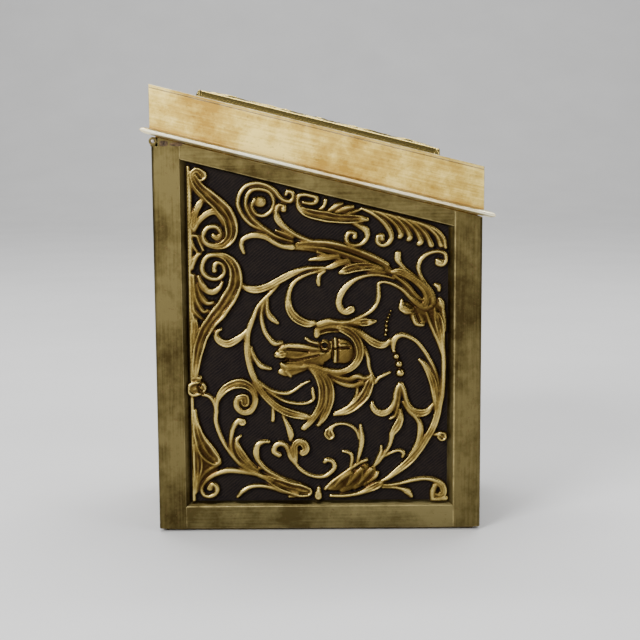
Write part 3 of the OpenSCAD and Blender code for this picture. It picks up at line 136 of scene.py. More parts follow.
TOP_SCROLLS = [
    [-11.5, 44.3, 0.3, -11.8, 45.2, 0.6, -11.8, 46.2, 0.7, -10.8, 46.9, 0.8, -9.4, 47.1, 0.9, -8, 46.8, 0.9,
     -6.8, 46, 0.8, -5.5, 45.4, 0.8, -4, 45.2, 0.9],
    [-1.3, 43.2, 0.3, 0, 43.4, 0.8, 1.6, 43.6, 0.9, 3.2, 43.8, 0.8],
    [1.1, 41.9, 0.4, 2, 42.1, 0.8, 3.1, 42.6, 0.9, 4.6, 43, 0.9],
    [3.5, 41.2, 0.6, 4.5, 41.6, 1.2, 6, 42, 1.3, 8, 42.1, 1.1, 9.8, 41.8, 0.8],
    [-6.9, 47.1, 0.3, -8.6, 47.9, 0.5, -10.2, 48.7, 0.6, -11.5, 50, 0.6, -12.3, 51.7, 0.6, -12.1, 53.3, 0.6,
     -11.1, 54.6, 0.6, -9.5, 55.1, 0.6, -7.9, 54.8, 0.6, -6.7, 54, 0.6, -5.9, 53, 0.6, -5.1, 52.4, 0.6,
     -4.2, 52.3, 0.6, -3.8, 52.9, 0.6, -3.9, 53.6, 0.6, -4.6, 53.8, 0.5, -4.9, 53.3, 0.4],
    [-4, 46.1, 0.4, -6.4, 46.9, 0.6, -8.4, 48.2, 0.6, -10, 49.6, 0.6, -11, 51.3, 0.6, -11, 52.9, 0.6,
     -10.2, 54, 0.6, -8.8, 54.2, 0.6, -7.4, 53.7, 0.6, -6.8, 52.5, 0.5, -7.1, 51, 0.5, -8.3, 50.1, 0.5,
     -9.6, 50.4, 0.5, -10.2, 51.6, 0.5, -9.7, 52.6, 0.6],
    [-5.3, 51, 0.8, -5.2, 51.5, 0.6, -5.9, 51.7, 0.6, -6.4, 50.9, 0.7, -6.3, 49.8, 0.9, -5.7, 48.8, 0.9,
     -4.7, 47.9, 0.8, -3.4, 47.1, 0.7, -1.9, 46.4, 0.6, 0.2, 45.8, 0.5],
    [-6.5, 47.8, 0.2, -5.3, 47.4, 0.6, -4, 46.8, 0.6],
    [-2.2, 52.1, 0.5, -1.2, 51.9, 0.6, -0.3, 52.1, 0.6, -0.2, 52.8, 0.6, -1, 53.1, 0.6, -2, 53.3, 0.6,
     -2.9, 53.1, 0.6, -3.1, 52.2, 0.6, -2.8, 51.3, 0.8, -1.8, 50.6, 1.2, -0.4, 50.2, 1.5, 1.2, 49.9, 1.6,
     3, 49.6, 1.4, 4.8, 49.5, 1.3, 6.4, 49.5, 1.1, 7.6, 49.4, 0.6],
    [0, 50.8, 0.4, 0.9, 51.4, 0.5, 1.2, 52.4, 0.5],
    [1, 50.3, 0.4, 2, 50.9, 0.7, 3, 51.6, 0.7, 3.8, 51.9, 0.3],
    [2, 50.2, 0.4, 3.3, 50.7, 0.7, 4.5, 51.2, 0.8, 5.4, 51.4, 0.5],
    [3.4, 49.9, 0.5, 5, 50.4, 0.7, 6.7, 51, 0.2],
    [5.4, 49, 0.7, 6.5, 48.4, 0.8, 7.5, 47.7, 0.9, 7.6, 46.7, 0.7, 7, 45.8, 0.6, 5.9, 45.4, 0.6,
     4.8, 45.7, 0.6, 4.4, 46.6, 0.6, 4.9, 47.4, 0.6, 5.8, 47.2, 0.5, 5.7, 46.7, 0.7],
    [7, 51, 0.3, 8.4, 50.4, 0.6, 9.8, 49.4, 0.7, 10.8, 48.3, 0.8, 11.4, 47, 0.8, 11, 45.8, 0.7,
     10, 45.4, 0.6, 9.3, 45.9, 0.6, 9.3, 46.7, 0.6, 10, 46.9, 0.6, 10, 46.4, 0.8],
    [9.4, 50.5, 0.4, 11, 49.6, 0.6, 12.2, 48.5, 0.7, 12.9, 47.2, 0.8, 12.7, 46.7, 0.7],
    [11, 50.1, 0.4, 12.5, 49.3, 0.6, 13.6, 48.1, 0.7, 14.3, 46.8, 0.8, 14.1, 46.3, 0.7],
    [12.5, 49.8, 0.4, 14, 48.9, 0.6, 15.2, 47.7, 0.7, 16, 46.1, 0.8, 15.7, 45.6, 0.7],
    [14, 49.3, 0.4, 15.6, 48.3, 0.6, 16.8, 47, 0.7, 17.6, 45.4, 0.8],
    [15.6, 48.8, 0.4, 17.2, 48, 0.6, 18.5, 46.8, 0.7, 19.1, 45.4, 0.8],
    [6.8, 51.1, 0.3, 10, 50.4, 0.4, 13, 49.6, 0.4, 16, 48.7, 0.5, 18.2, 47.8, 0.5, 19.5, 46.4, 0.5,
     19.8, 45, 0.4],
]
RIGHT_SCROLLS = [
    [19.1, 42.7, 0.8, 18.5, 43, 0.5, 18.6, 42.4, 0.5, 19.4, 42.3, 0.5, 19.9, 43, 0.5, 19.7, 44, 0.5,
     18.6, 44.4, 0.5, 17.2, 44.1, 0.5, 16.1, 43.3, 0.6, 15.6, 42.2, 0.6, 15.8, 41, 0.5, 16.3, 40, 0.5,
     17, 39, 0.5],
    [12.4, 44, 0.9, 12.4, 43.2, 0.9, 12.9, 42.3, 0.6, 13.8, 41.4, 0.6, 15, 40.4, 0.7, 16.2, 39.5, 0.8,
     17.2, 38.5, 0.9, 17.8, 37.4, 0.9, 17.9, 36.4, 0.8],
    [11.5, 41.2, 0.6, 12.5, 41.3, 1, 13.7, 40.8, 1, 14.9, 40, 0.9, 15.9, 39, 0.8, 16.7, 37.9, 0.8,
     16.9, 36.8, 0.9, 16.6, 36, 1],
    [11.8, 40.7, 0.4, 13, 39.9, 0.7, 14.1, 38.9, 0.7, 15, 37.8, 0.6, 15.9, 37, 0.5, 16.8, 36.9, 0.5],
    [9.4, 38.6, 0.4, 9.4, 39.4, 0.4, 10.2, 39.7, 0.4, 11.5, 39.4, 0.5, 13, 38.6, 0.6, 14.3, 37.4, 0.8,
     15.4, 36.4, 0.9, 16.6, 35.6, 0.8, 17.6, 35.9, 0.7],
    [9.4, 38.8, 0.5, 9.4, 37.5, 0.6, 9.1, 36.3, 0.5, 8.4, 35.3, 0.5, 7.4, 34.6, 0.5, 6.2, 34, 0.6,
     5, 33.5, 0.7, 3.5, 33.3, 0.8],
    [11.8, 40.2, 0.3, 10.5, 40.6, 0.4, 9, 40.8, 0.4, 7.5, 40.7, 0.5, 6, 40.2, 0.6, 4.7, 39.3, 0.8,
     3.7, 38.1, 0.9, 3.2, 36.8, 0.9, 3.5, 35.5, 0.9, 4.3, 35, 0.9, 5.1, 35.4, 1.1],
    [1.6, 42, 0.3, 0, 41.4, 0.4, -1.5, 41, 0.4, -3, 40.3, 0.5, -4, 39.4, 0.6, -4.6, 38, 0.7,
     -4.7, 36.6, 0.9, -4.4, 35.3, 1.1, -3.7, 34.3, 1.2, -2.7, 33.6, 1.2, -1.6, 33.2, 1.1, -0.7, 33.3, 0.8],
    [1, 41.4, 0.3, 0.2, 40.8, 0.5, 0, 40, 0.6, 0.1, 39.2, 0.3],
    [18.6, 34.4, 1, 18.9, 33, 1.3, 19.2, 31.4, 1, 19.4, 29.6, 0.7, 19.6, 27.6, 0.6, 19.6, 25.6, 0.6,
     19.5, 23.6, 0.7, 19.3, 21.8, 0.8, 18.9, 20, 0.9, 18.5, 18.2, 1, 17.9, 16.5, 1, 17, 14.9, 1,
     16, 13.3, 1, 14.9, 11.9, 1.1, 13.6, 10.6, 1.1, 12.2, 9.5, 0.9, 11, 8.5, 0.7, 9.9, 7.9, 0.5],
    [15.8, 27.4, 0.3, 16.6, 26.6, 0.8, 17.4, 25.2, 1, 18, 23.5, 1.1, 18.3, 21.5, 0.9, 18.4, 19.5, 0.6],
    [13, 36.8, 0.3, 13.1, 35.6, 1, 13.9, 35.3, 0.9, 14.7, 35.4, 0.4],
    [18.9, 37, 0.4, 19.2, 36.2, 0.9, 19.5, 35.3, 0.4],
    [18.2, 39.2, 0.4, 18.7, 38.9, 0.7, 18.8, 38.3, 0.4],
    [11.7, 29.2, 0.5, 11.7, 30.1, 0.8, 12.1, 30.9, 0.8, 13, 31.3, 0.7, 14.2, 31, 0.6, 15.4, 30.2, 0.5,
     16.5, 28.9, 0.5, 17.4, 27.4, 0.5, 18.2, 25.8, 0.5, 18.7, 24.2, 0.5, 18.9, 22.4, 0.6],
    [12.7, 23.5, 0.6, 12.2, 22.5, 0.7, 12, 21.2, 0.7, 11.6, 20, 0.8, 10.9, 19.2, 0.9, 9.9, 18.9, 1,
     8.9, 19.3, 0.9, 8.4, 20.1, 0.7, 8.4, 20.6, 0.4],
    [13, 23.5, 0.6, 13.4, 22.5, 0.7, 13.7, 21.2, 0.7, 14.2, 20, 0.8, 15, 19.2, 1, 16.1, 18.9, 1.1,
     17.1, 19.2, 0.9, 17.7, 19.9, 0.6, 18.1, 20.5, 0.3],
    [12.8, 22.9, 0.4, 12.6, 21, 0.4, 12.3, 19.5, 0.5, 11.9, 18.4, 0.4, 11.2, 18, 0.3],
    [12.8, 19.4, 0.6, 12.8, 18, 1, 12.3, 16.8, 1.2, 11.6, 15.7, 0.9, 11.4, 14.7, 0.6, 11, 13.5, 0.5,
     10.2, 12.2, 0.5, 9.3, 11, 0.5, 8.7, 10.4, 0.4],
    [13.3, 20.6, 0.4, 14.2, 19.2, 0.6, 15.2, 18.3, 0.7, 15.9, 17.2, 0.8, 16, 15.8, 0.9, 15.7, 14.3, 0.9,
     15, 12.9, 0.8, 14.2, 11.8, 0.6],
    [9.5, 7.4, 0.5, 11, 7.3, 0.5, 13, 7.6, 0.5, 15, 8.1, 0.6, 16.8, 8.3, 0.6, 18.3, 8, 0.8, 19.4, 7.2, 1,
     19.7, 6.2, 1, 19.3, 5.6, 1, 18.6, 5.7, 0.7],
    [10, 6.9, 0.3, 11.5, 6.9, 0.3, 13, 6.7, 0.6, 14, 6.2, 0.9, 14.6, 5.4, 0.4],
    [0.9, 6.7, 0.4, 2, 7.8, 0.5, 3.5, 8.9, 0.5, 5, 10, 0.5, 6.4, 10.9, 0.5, 7.5, 11.4, 0.4],
    [1.8, 5.6, 0.4, 4, 5.6, 0.5, 6.4, 6, 0.6, 8.2, 6.8, 1, 9.2, 7.3, 1.1, 9.8, 7.7, 0.7],
    [8.7, 10.5, 0.4, 9.4, 11.8, 0.6, 9.8, 12.8, 0.5, 9.8, 13.6, 0.2],
    [10.2, 11.9, 0.3, 11.3, 12.5, 0.4, 12.5, 12.9, 0.4, 13.3, 12.5, 0.6, 13.2, 11.8, 0.3],
    [5, 10.4, 0.4, 5.2, 11.4, 0.5, 5.1, 12.2, 0.5, 4.6, 12.6, 0.4, 3.8, 12.8, 0.3],
    [6, 11, 0.4, 6.4, 12.6, 0.6, 6.7, 14, 0.7, 6.7, 15.5, 0.7, 6.5, 17, 0.3],
    [6.3, 14.8, 0.3, 6, 15.9, 0.4, 5.3, 16.7, 0.4, 4.2, 17.2, 0.4, 3, 17.2, 0.4, 2, 16.7, 0.6,
     1.5, 15.8, 1.3, 1.7, 15.4, 1.4],
    [18.2, 15.4, 0.4, 18.9, 15.4, 0.8, 19.4, 15.1, 1.4],
    [2.4, 7.2, 0.5, 3.6, 8.5, 0.8, 5, 9.3, 0.8],
    [4.4, 7.3, 0.5, 5.6, 8.7, 0.8, 6.7, 9.9, 0.8],
    [6.2, 7.5, 0.5, 7.2, 8.7, 0.8, 8.3, 9.9, 0.7],
    [7.7, 7.7, 0.5, 8.7, 8.5, 0.7, 9.2, 9.3, 0.5],
    [5, 9.3, 0.6, 4.9, 8.4, 0.6, 4.4, 7.3, 0.5],
    [6.7, 9.9, 0.6, 6.8, 8.8, 0.6, 6.3, 7.6, 0.5],
    [20, 5.1, 0.8, 18.8, 4.95, 0.7, 18, 5, 0.7],
    [18, 5, 0.7, 18, 6.2, 0.8, 18.4, 7.2, 0.8, 19, 7.3, 0.5],
    [-3, 45.8, 0.5, -0.8, 46, 0.6, 1.4, 45.9, 0.7, 3.5, 45.5, 0.7, 5.5, 44.9, 0.7, 7.5, 44.1, 0.7,
     9.3, 43.3, 0.6, 10.8, 42.4, 0.5],
    [-2, 45.2, 0.4, 1, 45, 0.6, 4, 44.2, 0.7, 7, 43.1, 0.7, 10, 41.9, 0.5],
    [0, 44.4, 0.5, 2.6, 43.6, 0.6, 4.6, 42.8, 0.6, 6.6, 42, 0.6, 8.6, 41.4, 0.6, 10.4, 41.2, 0.4],
    [16.9, 34.8, 0.5, 17.4, 33.4, 0.6, 18.1, 31.8, 0.6, 18.9, 30, 0.6, 19.4, 28.3, 0.4],
    [19.4, 35.4, 0.5, 19.6, 34, 0.6, 19.7, 32, 0.5],
    [18.2, 35.4, 0.5, 18.3, 34, 0.7, 18.7, 32, 0.6, 19.1, 30, 0.4],
    [13, 36.3, 0.5, 13.4, 35, 0.6, 14.4, 34.9, 0.6],
    [14.8, 34.3, 0.5, 15.3, 33.1, 0.6, 16.3, 32.9, 0.5],
]
GRIFFIN = [
    [-5.1, 25.7, 0.7, -4.6, 24.9, 0.2],
    [-2, 30.9, 0.3, -1.3, 30.4, 0.4, -0.2, 30.1, 0.4],
    [0.1, 33.1, 0.9, 1.5, 33.5, 0.9, 3, 33.4, 0.7, 4.6, 33.3, 0.6, 6, 33.3, 0.8, 7.3, 33.4, 1.2,
     8.2, 33.4, 0.8, 8.9, 33.5, 0.3],
    [3, 32.9, 0.4, 4.6, 32.7, 0.6, 6, 32.1, 0.8, 7.2, 31.2, 0.9, 8.4, 30.3, 1.1, 9.6, 29.8, 1.1,
     10.5, 29.9, 0.9, 11.2, 30.5, 0.6],
    [5.2, 32, 0.4, 6.4, 30.7, 0.4, 7.2, 29.2, 0.5, 7.7, 27.8, 0.5, 7.9, 26.4, 0.4, 8.3, 25.2, 0.4,
     8.9, 24.2, 0.4],
    [-0.5, 26.2, 0.4, 1.5, 25.3, 0.5, 3.2, 24.7, 0.7, 4.8, 24.4, 0.8, 6.1, 24.8, 0.8, 7.2, 24.5, 0.7,
     8.3, 24.9, 0.5],
    [1, 25.2, 0.3, 2.5, 24.2, 0.6, 4, 23.6, 0.8, 5.5, 23.4, 0.8, 6.9, 23.8, 0.8],
    [8.4, 24.7, 0.6, 7.9, 23.4, 1.3, 7.3, 22, 1.5, 6.5, 20.9, 1.4, 5.4, 19.9, 1.2, 4, 19.1, 0.9,
     2.4, 18.7, 0.4],
    [6.1, 22.9, 0.5, 5.9, 21.7, 0.6, 5.1, 20.4, 0.6, 3.9, 19.5, 0.6, 2.6, 19, 0.4],
    [8.8, 23.8, 0.5, 9.4, 24.5, 0.4, 10.3, 25, 0.4, 11.2, 25.4, 0.2],
    [-2.2, 26.7, 0.7, -0.5, 26.3, 0.9, 1, 25.8, 0.9, 2.6, 25.5, 0.9, 4.2, 25.7, 0.9, 5.6, 26.6, 1,
     6.4, 28, 1.1, 6.4, 29.6, 1.2, 5.7, 31, 1.2, 4.5, 32, 1.2, 3.2, 32.5, 0.9],
    [-1.4, 26.2, 0.6, -0.2, 25, 1, 0.5, 23.4, 1.2, 0.6, 21.8, 1.2, 0.3, 20.3, 1.1, -0.5, 18.8, 1,
     -1.4, 17.6, 0.9, -2.4, 16.6, 0.8],
    [-0.8, 26.2, 0.5, 0.9, 25, 0.9, 1.7, 23.4, 1.1, 1.8, 21.6, 1.2, 1.4, 19.8, 1.1, 0.7, 18.3, 1,
     -0.1, 17.1, 0.6],
    [0.5, 29.3, 0.35, 0.3, 29.9, 0.35, 0.9, 30.4, 0.35, 1.5, 30.1, 0.35, 1.6, 29.5, 0.35, 1.1, 29.1, 0.35],
    [-6.2, 29, 0.5, -5.4, 29.5, 0.8, -4.2, 29.6, 0.9, -2.6, 29.5, 0.9, -1, 29.3, 0.8, 0.2, 29.2, 0.5],
    [-3.9, 27.7, 0.5, -2.4, 27.8, 0.8, -0.8, 28.2, 0.9, 0.8, 28.6, 0.7],
    [-6.4, 28.3, 0.7, -5.7, 28.4, 1.1, -5.2, 28.5, 0.7],
    [-5.8, 26.9, 0.5, -5, 26.4, 0.9, -4, 26.4, 0.9, -2.8, 26.4, 0.8, -1.4, 26.5, 0.6],
    [-4.9, 25.9, 0.6, -4.6, 25.2, 0.4, -4.4, 24.8, 0.2],
    [2.6, 30.7, 0.5, 2.7, 28.9, 0.7, 2.6, 27.2, 0.5],
    [1.9, 29.5, 0.5, 3, 29.7, 0.6, 4.2, 29.8, 0.5],
]

# Low solid bodies under the stems: the leaf of the trunk, the cup and the knot's lobes
DOMES = [
    [-5, 45.2, 0.9, -3, 45.3, 1.3, -1, 45.3, 1.7, 1, 45.1, 2, 3, 44.6, 2.2, 5, 43.9, 2.4, 7, 43.2, 2.5,
     8.8, 42.5, 2.3, 10.2, 41.9, 1.7, 11.2, 41.4, 1],
    [1.6, 6.9, 1, 3, 7.4, 1.9, 4, 8.4, 1.6],
    [3.6, 6.5, 1, 5, 7.6, 1.9, 5.8, 9.3, 1.4],
    [5.6, 7, 1, 6.8, 8.4, 1.8, 7.3, 10.3, 1.2],
    [7.2, 7.4, 0.8, 8.2, 8.6, 1.4, 8.5, 10, 1],
    [17.9, 35.6, 1.6, 18.2, 34.6, 2.8, 18.6, 33, 2.5, 19, 31.2, 1.7, 19.3, 29.4, 1.1, 19.5, 28, 0.7],
    [13, 36.1, 0.8, 13.8, 35.6, 1.8, 14.5, 35.3, 1.2],
    [14.8, 34.6, 1, 15.6, 34, 2.2, 16.2, 33.4, 1.2],
    [15.6, 35.5, 1.2, 16.4, 35, 1.8, 17, 34.7, 1.4],
    [16.8, 36, 1.4, 17.6, 36.1, 2, 18.4, 36, 1.6],
]

# Fuller bodies: the head, the side knot, the leaf under it and the eye of the upper scroll
CROWNS = [
    [-0.3, 31.2, 0.8, 0, 32, 1.5, 1.2, 32.6, 1.9, 2.6, 32.6, 1.6, 4.2, 32.2, 1],
    [-19.4, 23.2, 1.9, -18.8, 23.2, 2.3, -18.3, 23.2, 1.5],
    [-9, 52.2, 1.7, -8.8, 52.2, 1.7],
    [2.7, 29.4, 2.6, 3.5, 28.9, 3.6, 3.9, 28.6, 3.4],
    [-4, 27.8, 2.2, -2.4, 28, 2.6, -0.6, 28.1, 2.4, 0.8, 28.1, 2],
    [-6.3, 28.3, 1.4, -5.4, 28.6, 2.2, -4, 28.6, 2.6, -2, 28.6, 2.6, 0, 28.4, 2.2, 1.4, 28.4, 1.8],
    [-5.6, 26.6, 1, -4.8, 26.3, 2, -3.4, 26.7, 2.2, -1.8, 27.1, 2.2, 0, 27.2, 1.8],
    [-19.6, 19, 0.8, -19.2, 16.5, 1.4, -18.6, 14, 2.4, -17.9, 12, 3.4, -17.7, 10.6, 3.2, -18.2, 9.6, 2.2],
    [-6, 25.6, 0.9, -5.2, 25.7, 1.7, -4.2, 26, 2, -2.8, 26.5, 1.9, -1.4, 27, 1.8, 0.2, 27.4, 1.6],
]

# Lines cut into what is there
CARVES = [
    [0.5, 29.6, 0.5, 1, 29.9, 0.7, 1.5, 29.6, 0.5],
    [0.4, 31.9, 0.2, 1.6, 32.2, 0.3, 3, 32.1, 0.2],
    [15.3, 34.7, 0.2, 15.8, 33.4, 0.2],
    [-18.2, 24.3, 0.3, -18.9, 23.2, 0.3, -18.3, 22.2, 0.3],
    [-6.9, 27.5, 0.5, -5.8, 27.4, 0.45, -4.9, 27.5, 0.3],
    [0.3, 29.6, 0.2, 0.4, 30.3, 0.2, 1, 30.5, 0.2, 1.6, 30.2, 0.2, 1.8, 29.5, 0.2, 1.4, 28.9, 0.2,
     0.7, 28.9, 0.2, 0.3, 29.5, 0.2],
    [-5.2, 27.5, 0.3, -3.6, 27.5, 0.2, -1.8, 27.8, 0.2, 0, 28.2, 0.15],
    [-4.9, 29.2, 0.15, -3.2, 29.1, 0.15, -1.6, 28.9, 0.15],
    [2.2, 30.6, 0.15, 2.2, 29, 0.15, 2.1, 27.4, 0.15],
    [3, 30.7, 0.15, 3.05, 29, 0.15, 3, 27.2, 0.15],
    [2.2, 29.2, 0.12, 3.6, 29.3, 0.12, 4.9, 29.4, 0.12],
]

# Round studs: across, up and radius
BEADS = [
    [10.5, 31.4, 0.34],
    [10.6, 32.1, 0.38],
    [10.6, 32.8, 0.34],
    [10.7, 33.5, 0.32],
    [10.9, 34.1, 0.27],
    [11.1, 34.6, 0.23],
    [11.3, 35.1, 0.2],
    [11.8, 28.8, 0.42],
    [12.2, 27.9, 0.6],
    [12.6, 26.7, 0.68],
    [12.8, 25.3, 0.8],
]

# Half the ornament of a narrow side, and what the tall one has above it
NARROW_HALF = [
    [0.3, 6, 1, 1.6, 6.6, 1.2, 3.4, 6.4, 1, 5.2, 6, 0.8, 7.2, 6.2, 0.7, 8.8, 7.2, 0.6, 9.2, 8.6, 0.6,
     8.4, 9.6, 0.6, 7.2, 9.2, 0.7, 7.3, 8.3, 0.9],
    [0.2, 8, 0.8, 1.4, 9.4, 0.9, 3.2, 10.4, 0.9, 5.4, 11, 0.9, 7.6, 12.2, 0.9, 8.9, 14.4, 0.8,
     8.6, 16.8, 0.8, 7, 18.2, 0.8, 5, 18, 0.8, 3.9, 16.5, 0.8, 4.4, 14.9, 0.8, 5.9, 14.7, 0.8,
     6.2, 15.9, 1],
    [3.8, 10.8, 0.3, 3.2, 12.2, 0.8, 1.9, 13.2, 0.5],
    [0.2, 14, 0.6, 1.4, 16, 0.8, 2.2, 18.2, 0.9, 2.6, 20.6, 1, 4.2, 22.6, 1, 6.4, 23.8, 0.9, 8.2, 25.6, 0.9,
     8.8, 28, 0.8, 7.6, 30, 0.8, 5.6, 30.2, 0.8, 4.5, 28.6, 0.8, 5.2, 27.2, 0.8, 6.4, 27.9, 1],
    [6.8, 20.2, 0.3, 7.8, 21.4, 0.9, 9.4, 22, 0.4],
    [0.2, 22, 0.7, 1.4, 24, 0.9, 2, 26.4, 1, 1.8, 29, 0.9, 2.6, 31.6, 0.9, 4.6, 33.4, 0.9, 7, 34, 0.8,
     8.8, 35.6, 0.7, 9, 37.8, 0.6, 7.6, 38.8, 0.6, 6.4, 38, 0.7, 7, 36.9, 0.9],
    [0.2, 31, 0.7, 1.2, 33.4, 1, 1.2, 36, 1.1, 2.6, 38.4, 1, 4.4, 40.4, 0.7, 4.9, 42.4, 0.3],
    [0.1, 36, 0.6, 0.1, 39, 1.3, 0.1, 41.4, 1.6, 0.1, 43.6, 0.3],
]
TALL_HALF = [
    [0.2, 42.6, 0.5, 1.5, 44.6, 0.9, 3.6, 46, 1, 6, 46.4, 0.9, 8.2, 47.8, 0.8, 8.9, 50, 0.7, 8, 51.8, 0.7,
     6.2, 51.8, 0.7, 5.4, 50.4, 0.7, 6.4, 49.6, 0.9],
    [0.2, 46.6, 0.5, 1.6, 48.4, 1, 2.4, 50.8, 1.1, 3.9, 53.2, 0.9, 6, 54.6, 0.7, 8.4, 55.4, 0.3],
    [0.1, 48, 0.6, 0.1, 51, 1.4, 0.1, 54, 1, 0.1, 56, 0.3],
    [8.8, 40.8, 0.3, 8, 42.4, 0.9, 7.6, 44.2, 0.4],
]

# Half the lid's ornament, up being across the lid's short way, and half its thin border
LID_HALF = [
    [0.4, -7, 0.8, 2, -5.6, 1, 2.8, -3.4, 1.1, 2, -1.2, 1, 0.3, -0.2, 1.2],
    [0.4, 7.6, 0.8, 1.8, 6, 1, 1.8, 3.6, 1.1, 0.4, 1.6, 1.2],
    [1.8, -5.6, 0.4, 4.2, -7.2, 0.9, 7.2, -7.6, 1, 10, -6.4, 1, 11.8, -4, 1, 11.6, -1, 1, 9.6, 0.8, 0.9,
     7, 0.6, 0.9, 5.6, -1.4, 0.9, 6.4, -3.4, 0.9, 8.2, -3.4, 1.2, 8.5, -2.6, 1.3],
    [1.6, 5.6, 0.4, 4, 7.2, 0.9, 7, 7.8, 1, 10, 7, 1, 12.4, 5.2, 1, 13.8, 2.4, 1, 14.4, -0.8, 1,
     15.6, -3.6, 0.9, 17.6, -4.6, 0.8, 18.9, -3.2, 0.7, 18.5, -1.6, 0.7, 17.1, -1.8, 1],
    [12.4, 5.4, 0.4, 14.4, 7.4, 0.9, 16.8, 7.8, 0.9, 18.5, 6.2, 0.8, 18.2, 4.2, 0.8, 16.6, 3.6, 0.8,
     15.9, 4.8, 1.1],
    [11.2, -5.6, 0.4, 13.4, -7.4, 1, 16, -7.6, 0.9, 18.6, -7.9, 0.4],
    [4, 2.2, 0.3, 5.4, 3.4, 1, 7.6, 4, 1.1, 10.2, 3.4, 0.4],
    [3.4, 4.9, 0.3, 5.2, 5.4, 0.8, 7.4, 5.7, 0.3],
    [-0.1, -4.2, 1.5, 0.1, -4, 1.5],
]
LID_BORDER = [
    [0, -10.5, 0.5, 7, -10.5, 0.5, 13, -10.5, 0.5, 19.3, -10.5, 0.5],
    [19.3, -10.9, 0.5, 19.3, -4, 0.5, 19.3, 4, 0.5, 19.3, 10.9, 0.5],
    [0, 10.5, 0.5, 7, 10.5, 0.5, 13, 10.5, 0.5, 19.3, 10.5, 0.5],
]

# The raised lip at the wide panel's hinge side
PANEL_LIPS = [[-19.95, 5, 0.5, -19.95, 20, 0.5, -19.95, 40, 0.5, -19.95, 57.6, 0.5]]

STEPS = 6  # points of a stem's curve between two of its listed points
SOFT = 0.1  # how far a stem's foot spreads past its width
FLANK = 0.24  # how far in from its foot a stem or a dome has risen in full
SHEET = 0.3  # thickness of the stamped sheets
STEEP = 2.4  # the slope from which a flank is darkened in full, with painted shade
DOME, CROWN = 0.38, 0.43  # rim heights of low and full bodies, as shares of the depth


def spline(a, b, c, d, t):
    """The point a share t of the way from b to c on a smooth curve that also minds a and d."""
    return 0.5 * (2 * b + (c - a) * t + (2 * a - 5 * b + 4 * c - d) * t * t + (3 * b - a - 3 * c + d) * t**3)


def smooth(stem):
    """Points along a stem's curve, as rows of across, up and width."""
    p = np.reshape(stem, (-1, 3)).astype(float)
    p = np.vstack([p[:1], p, p[-1:]])
    rows = [spline(*p[i : i + 4], s / STEPS) for i in range(len(p) - 3) for s in range(STEPS)]
    return np.array(rows + [p[-1]])


def wider(stems, times, more=0.0):
    """The same stems with their widths multiplied, and then that many millimetres more."""
    return [np.reshape(stem, (-1, 3)) * (1, 1, times) + (0, 0, more) for stem in stems]


def both_halves(stems):
    """The stems and their mirror images across the middle."""
    return stems + [np.reshape(stem, (-1, 3)) * (-1, 1, 1) for stem in stems]


def flank(out, w):
    """How much of its height a stem of width w has at a distance out from its middle line."""
    return np.clip((w / 2 + SOFT - out) / FLANK, 0, 1)


def profile(q, w, along):
    """Height across a stem at q, from 0 on its middle line to 1 at its edge. Wide stems are channelled."""
    wide = np.clip((w - 1.0) / 0.6, 0, 1)
    out = q * w / 2
    edge = flank(out, w)
    edge = edge * edge * (3 - 2 * edge)
    channel = 0.66 + 0.34 * np.exp(-(((q - 0.66) / 0.24) ** 2)) + 0.2 * np.exp(-((q / 0.22) ** 2))
    veins = 0.03 * np.sin(along * 2.1 + q * 9) * np.clip((w - 1) / 0.5, 0, 1)
    rounded = np.sqrt(np.clip(1 - (out / (w / 2 + SOFT)) ** 2, 0, 1))
    return (1 - wide) * rounded + wide * (channel + veins) * edge, edge


def reach_of(stem, across, up):
    """Which grid points are near a stem, and for those their q, the stem's width and the run to there."""
    c = smooth(stem)
    r = c[:, 2].max() * 0.54 + 0.2
    near = (across > c[:, 0].min() - r) & (across < c[:, 0].max() + r)
    near &= (up > c[:, 1].min() - r) & (up < c[:, 1].max() + r)
    x, z = across[near], up[near]
    best = np.full(x.shape, 9.0)
    width = np.ones(x.shape)
    along = np.zeros(x.shape)
    run = 0.0
    for a, b in zip(c[:-1], c[1:]):
        d = b - a
        span = math.hypot(d[0], d[1])
        if span < 1e-6:
            continue
        t = np.clip(((x - a[0]) * d[0] + (z - a[1]) * d[1]) / span**2, 0, 1)
        w = (a[2] + t * d[2]) * 1.08 + 0.08
        q = np.hypot(x - a[0] - t * d[0], z - a[1] - t * d[1]) / (w / 2)
        hit = q < best
        best[hit], width[hit], along[hit] = q[hit], w[hit], run + (t * span)[hit]
        run += span
    return near, best, width, along


def relief(stems, beads, across, up, depth, domes=(), crowns=(), carves=()):
    """Height and cover of the ornament at each grid point: bodies, then stems, beads and cut lines."""
    height = np.zeros_like(across)
    cover = np.zeros_like(across)
    for low, stem in [(DOME, s) for s in domes] + [(CROWN, s) for s in crowns]:
        near, q, w, _ = reach_of(stem, across, up)
        edge = flank(q * w / 2, w)
        shape = (low + 0.34 * np.sqrt(np.clip(1 - q * q, 0, 1))) * edge * edge * (3 - 2 * edge)
        height[near] = np.maximum(height[near], depth * shape)
        cover[near] = np.maximum(cover[near], edge)
    for stem in stems:
        near, q, w, along = reach_of(stem, across, up)
        shape, edge = profile(q, w, along)
        peak = depth * (0.58 + 0.42 * np.clip(w / 1.3, 0, 1))
        height[near] = np.maximum(height[near], peak * shape)
        cover[near] = np.maximum(cover[near], edge)
    for x, z, r in beads:
        q = np.hypot(across - x, up - z) / r
        height = np.maximum(height, depth * 0.9 * np.sqrt(np.clip(1 - q * q, 0, 1)))
        cover = np.maximum(cover, np.clip((1.15 - q) / 0.3, 0, 1))
    for stem in carves:
        near, q, w, _ = reach_of(stem, across, up)
        cut = np.clip(1 - (q * w / 2 / (w / 2 + 0.06)) ** 2, 0, 1)
        height[near] = np.maximum(height[near] - depth * 0.34 * cut, 0)
    return height, cover


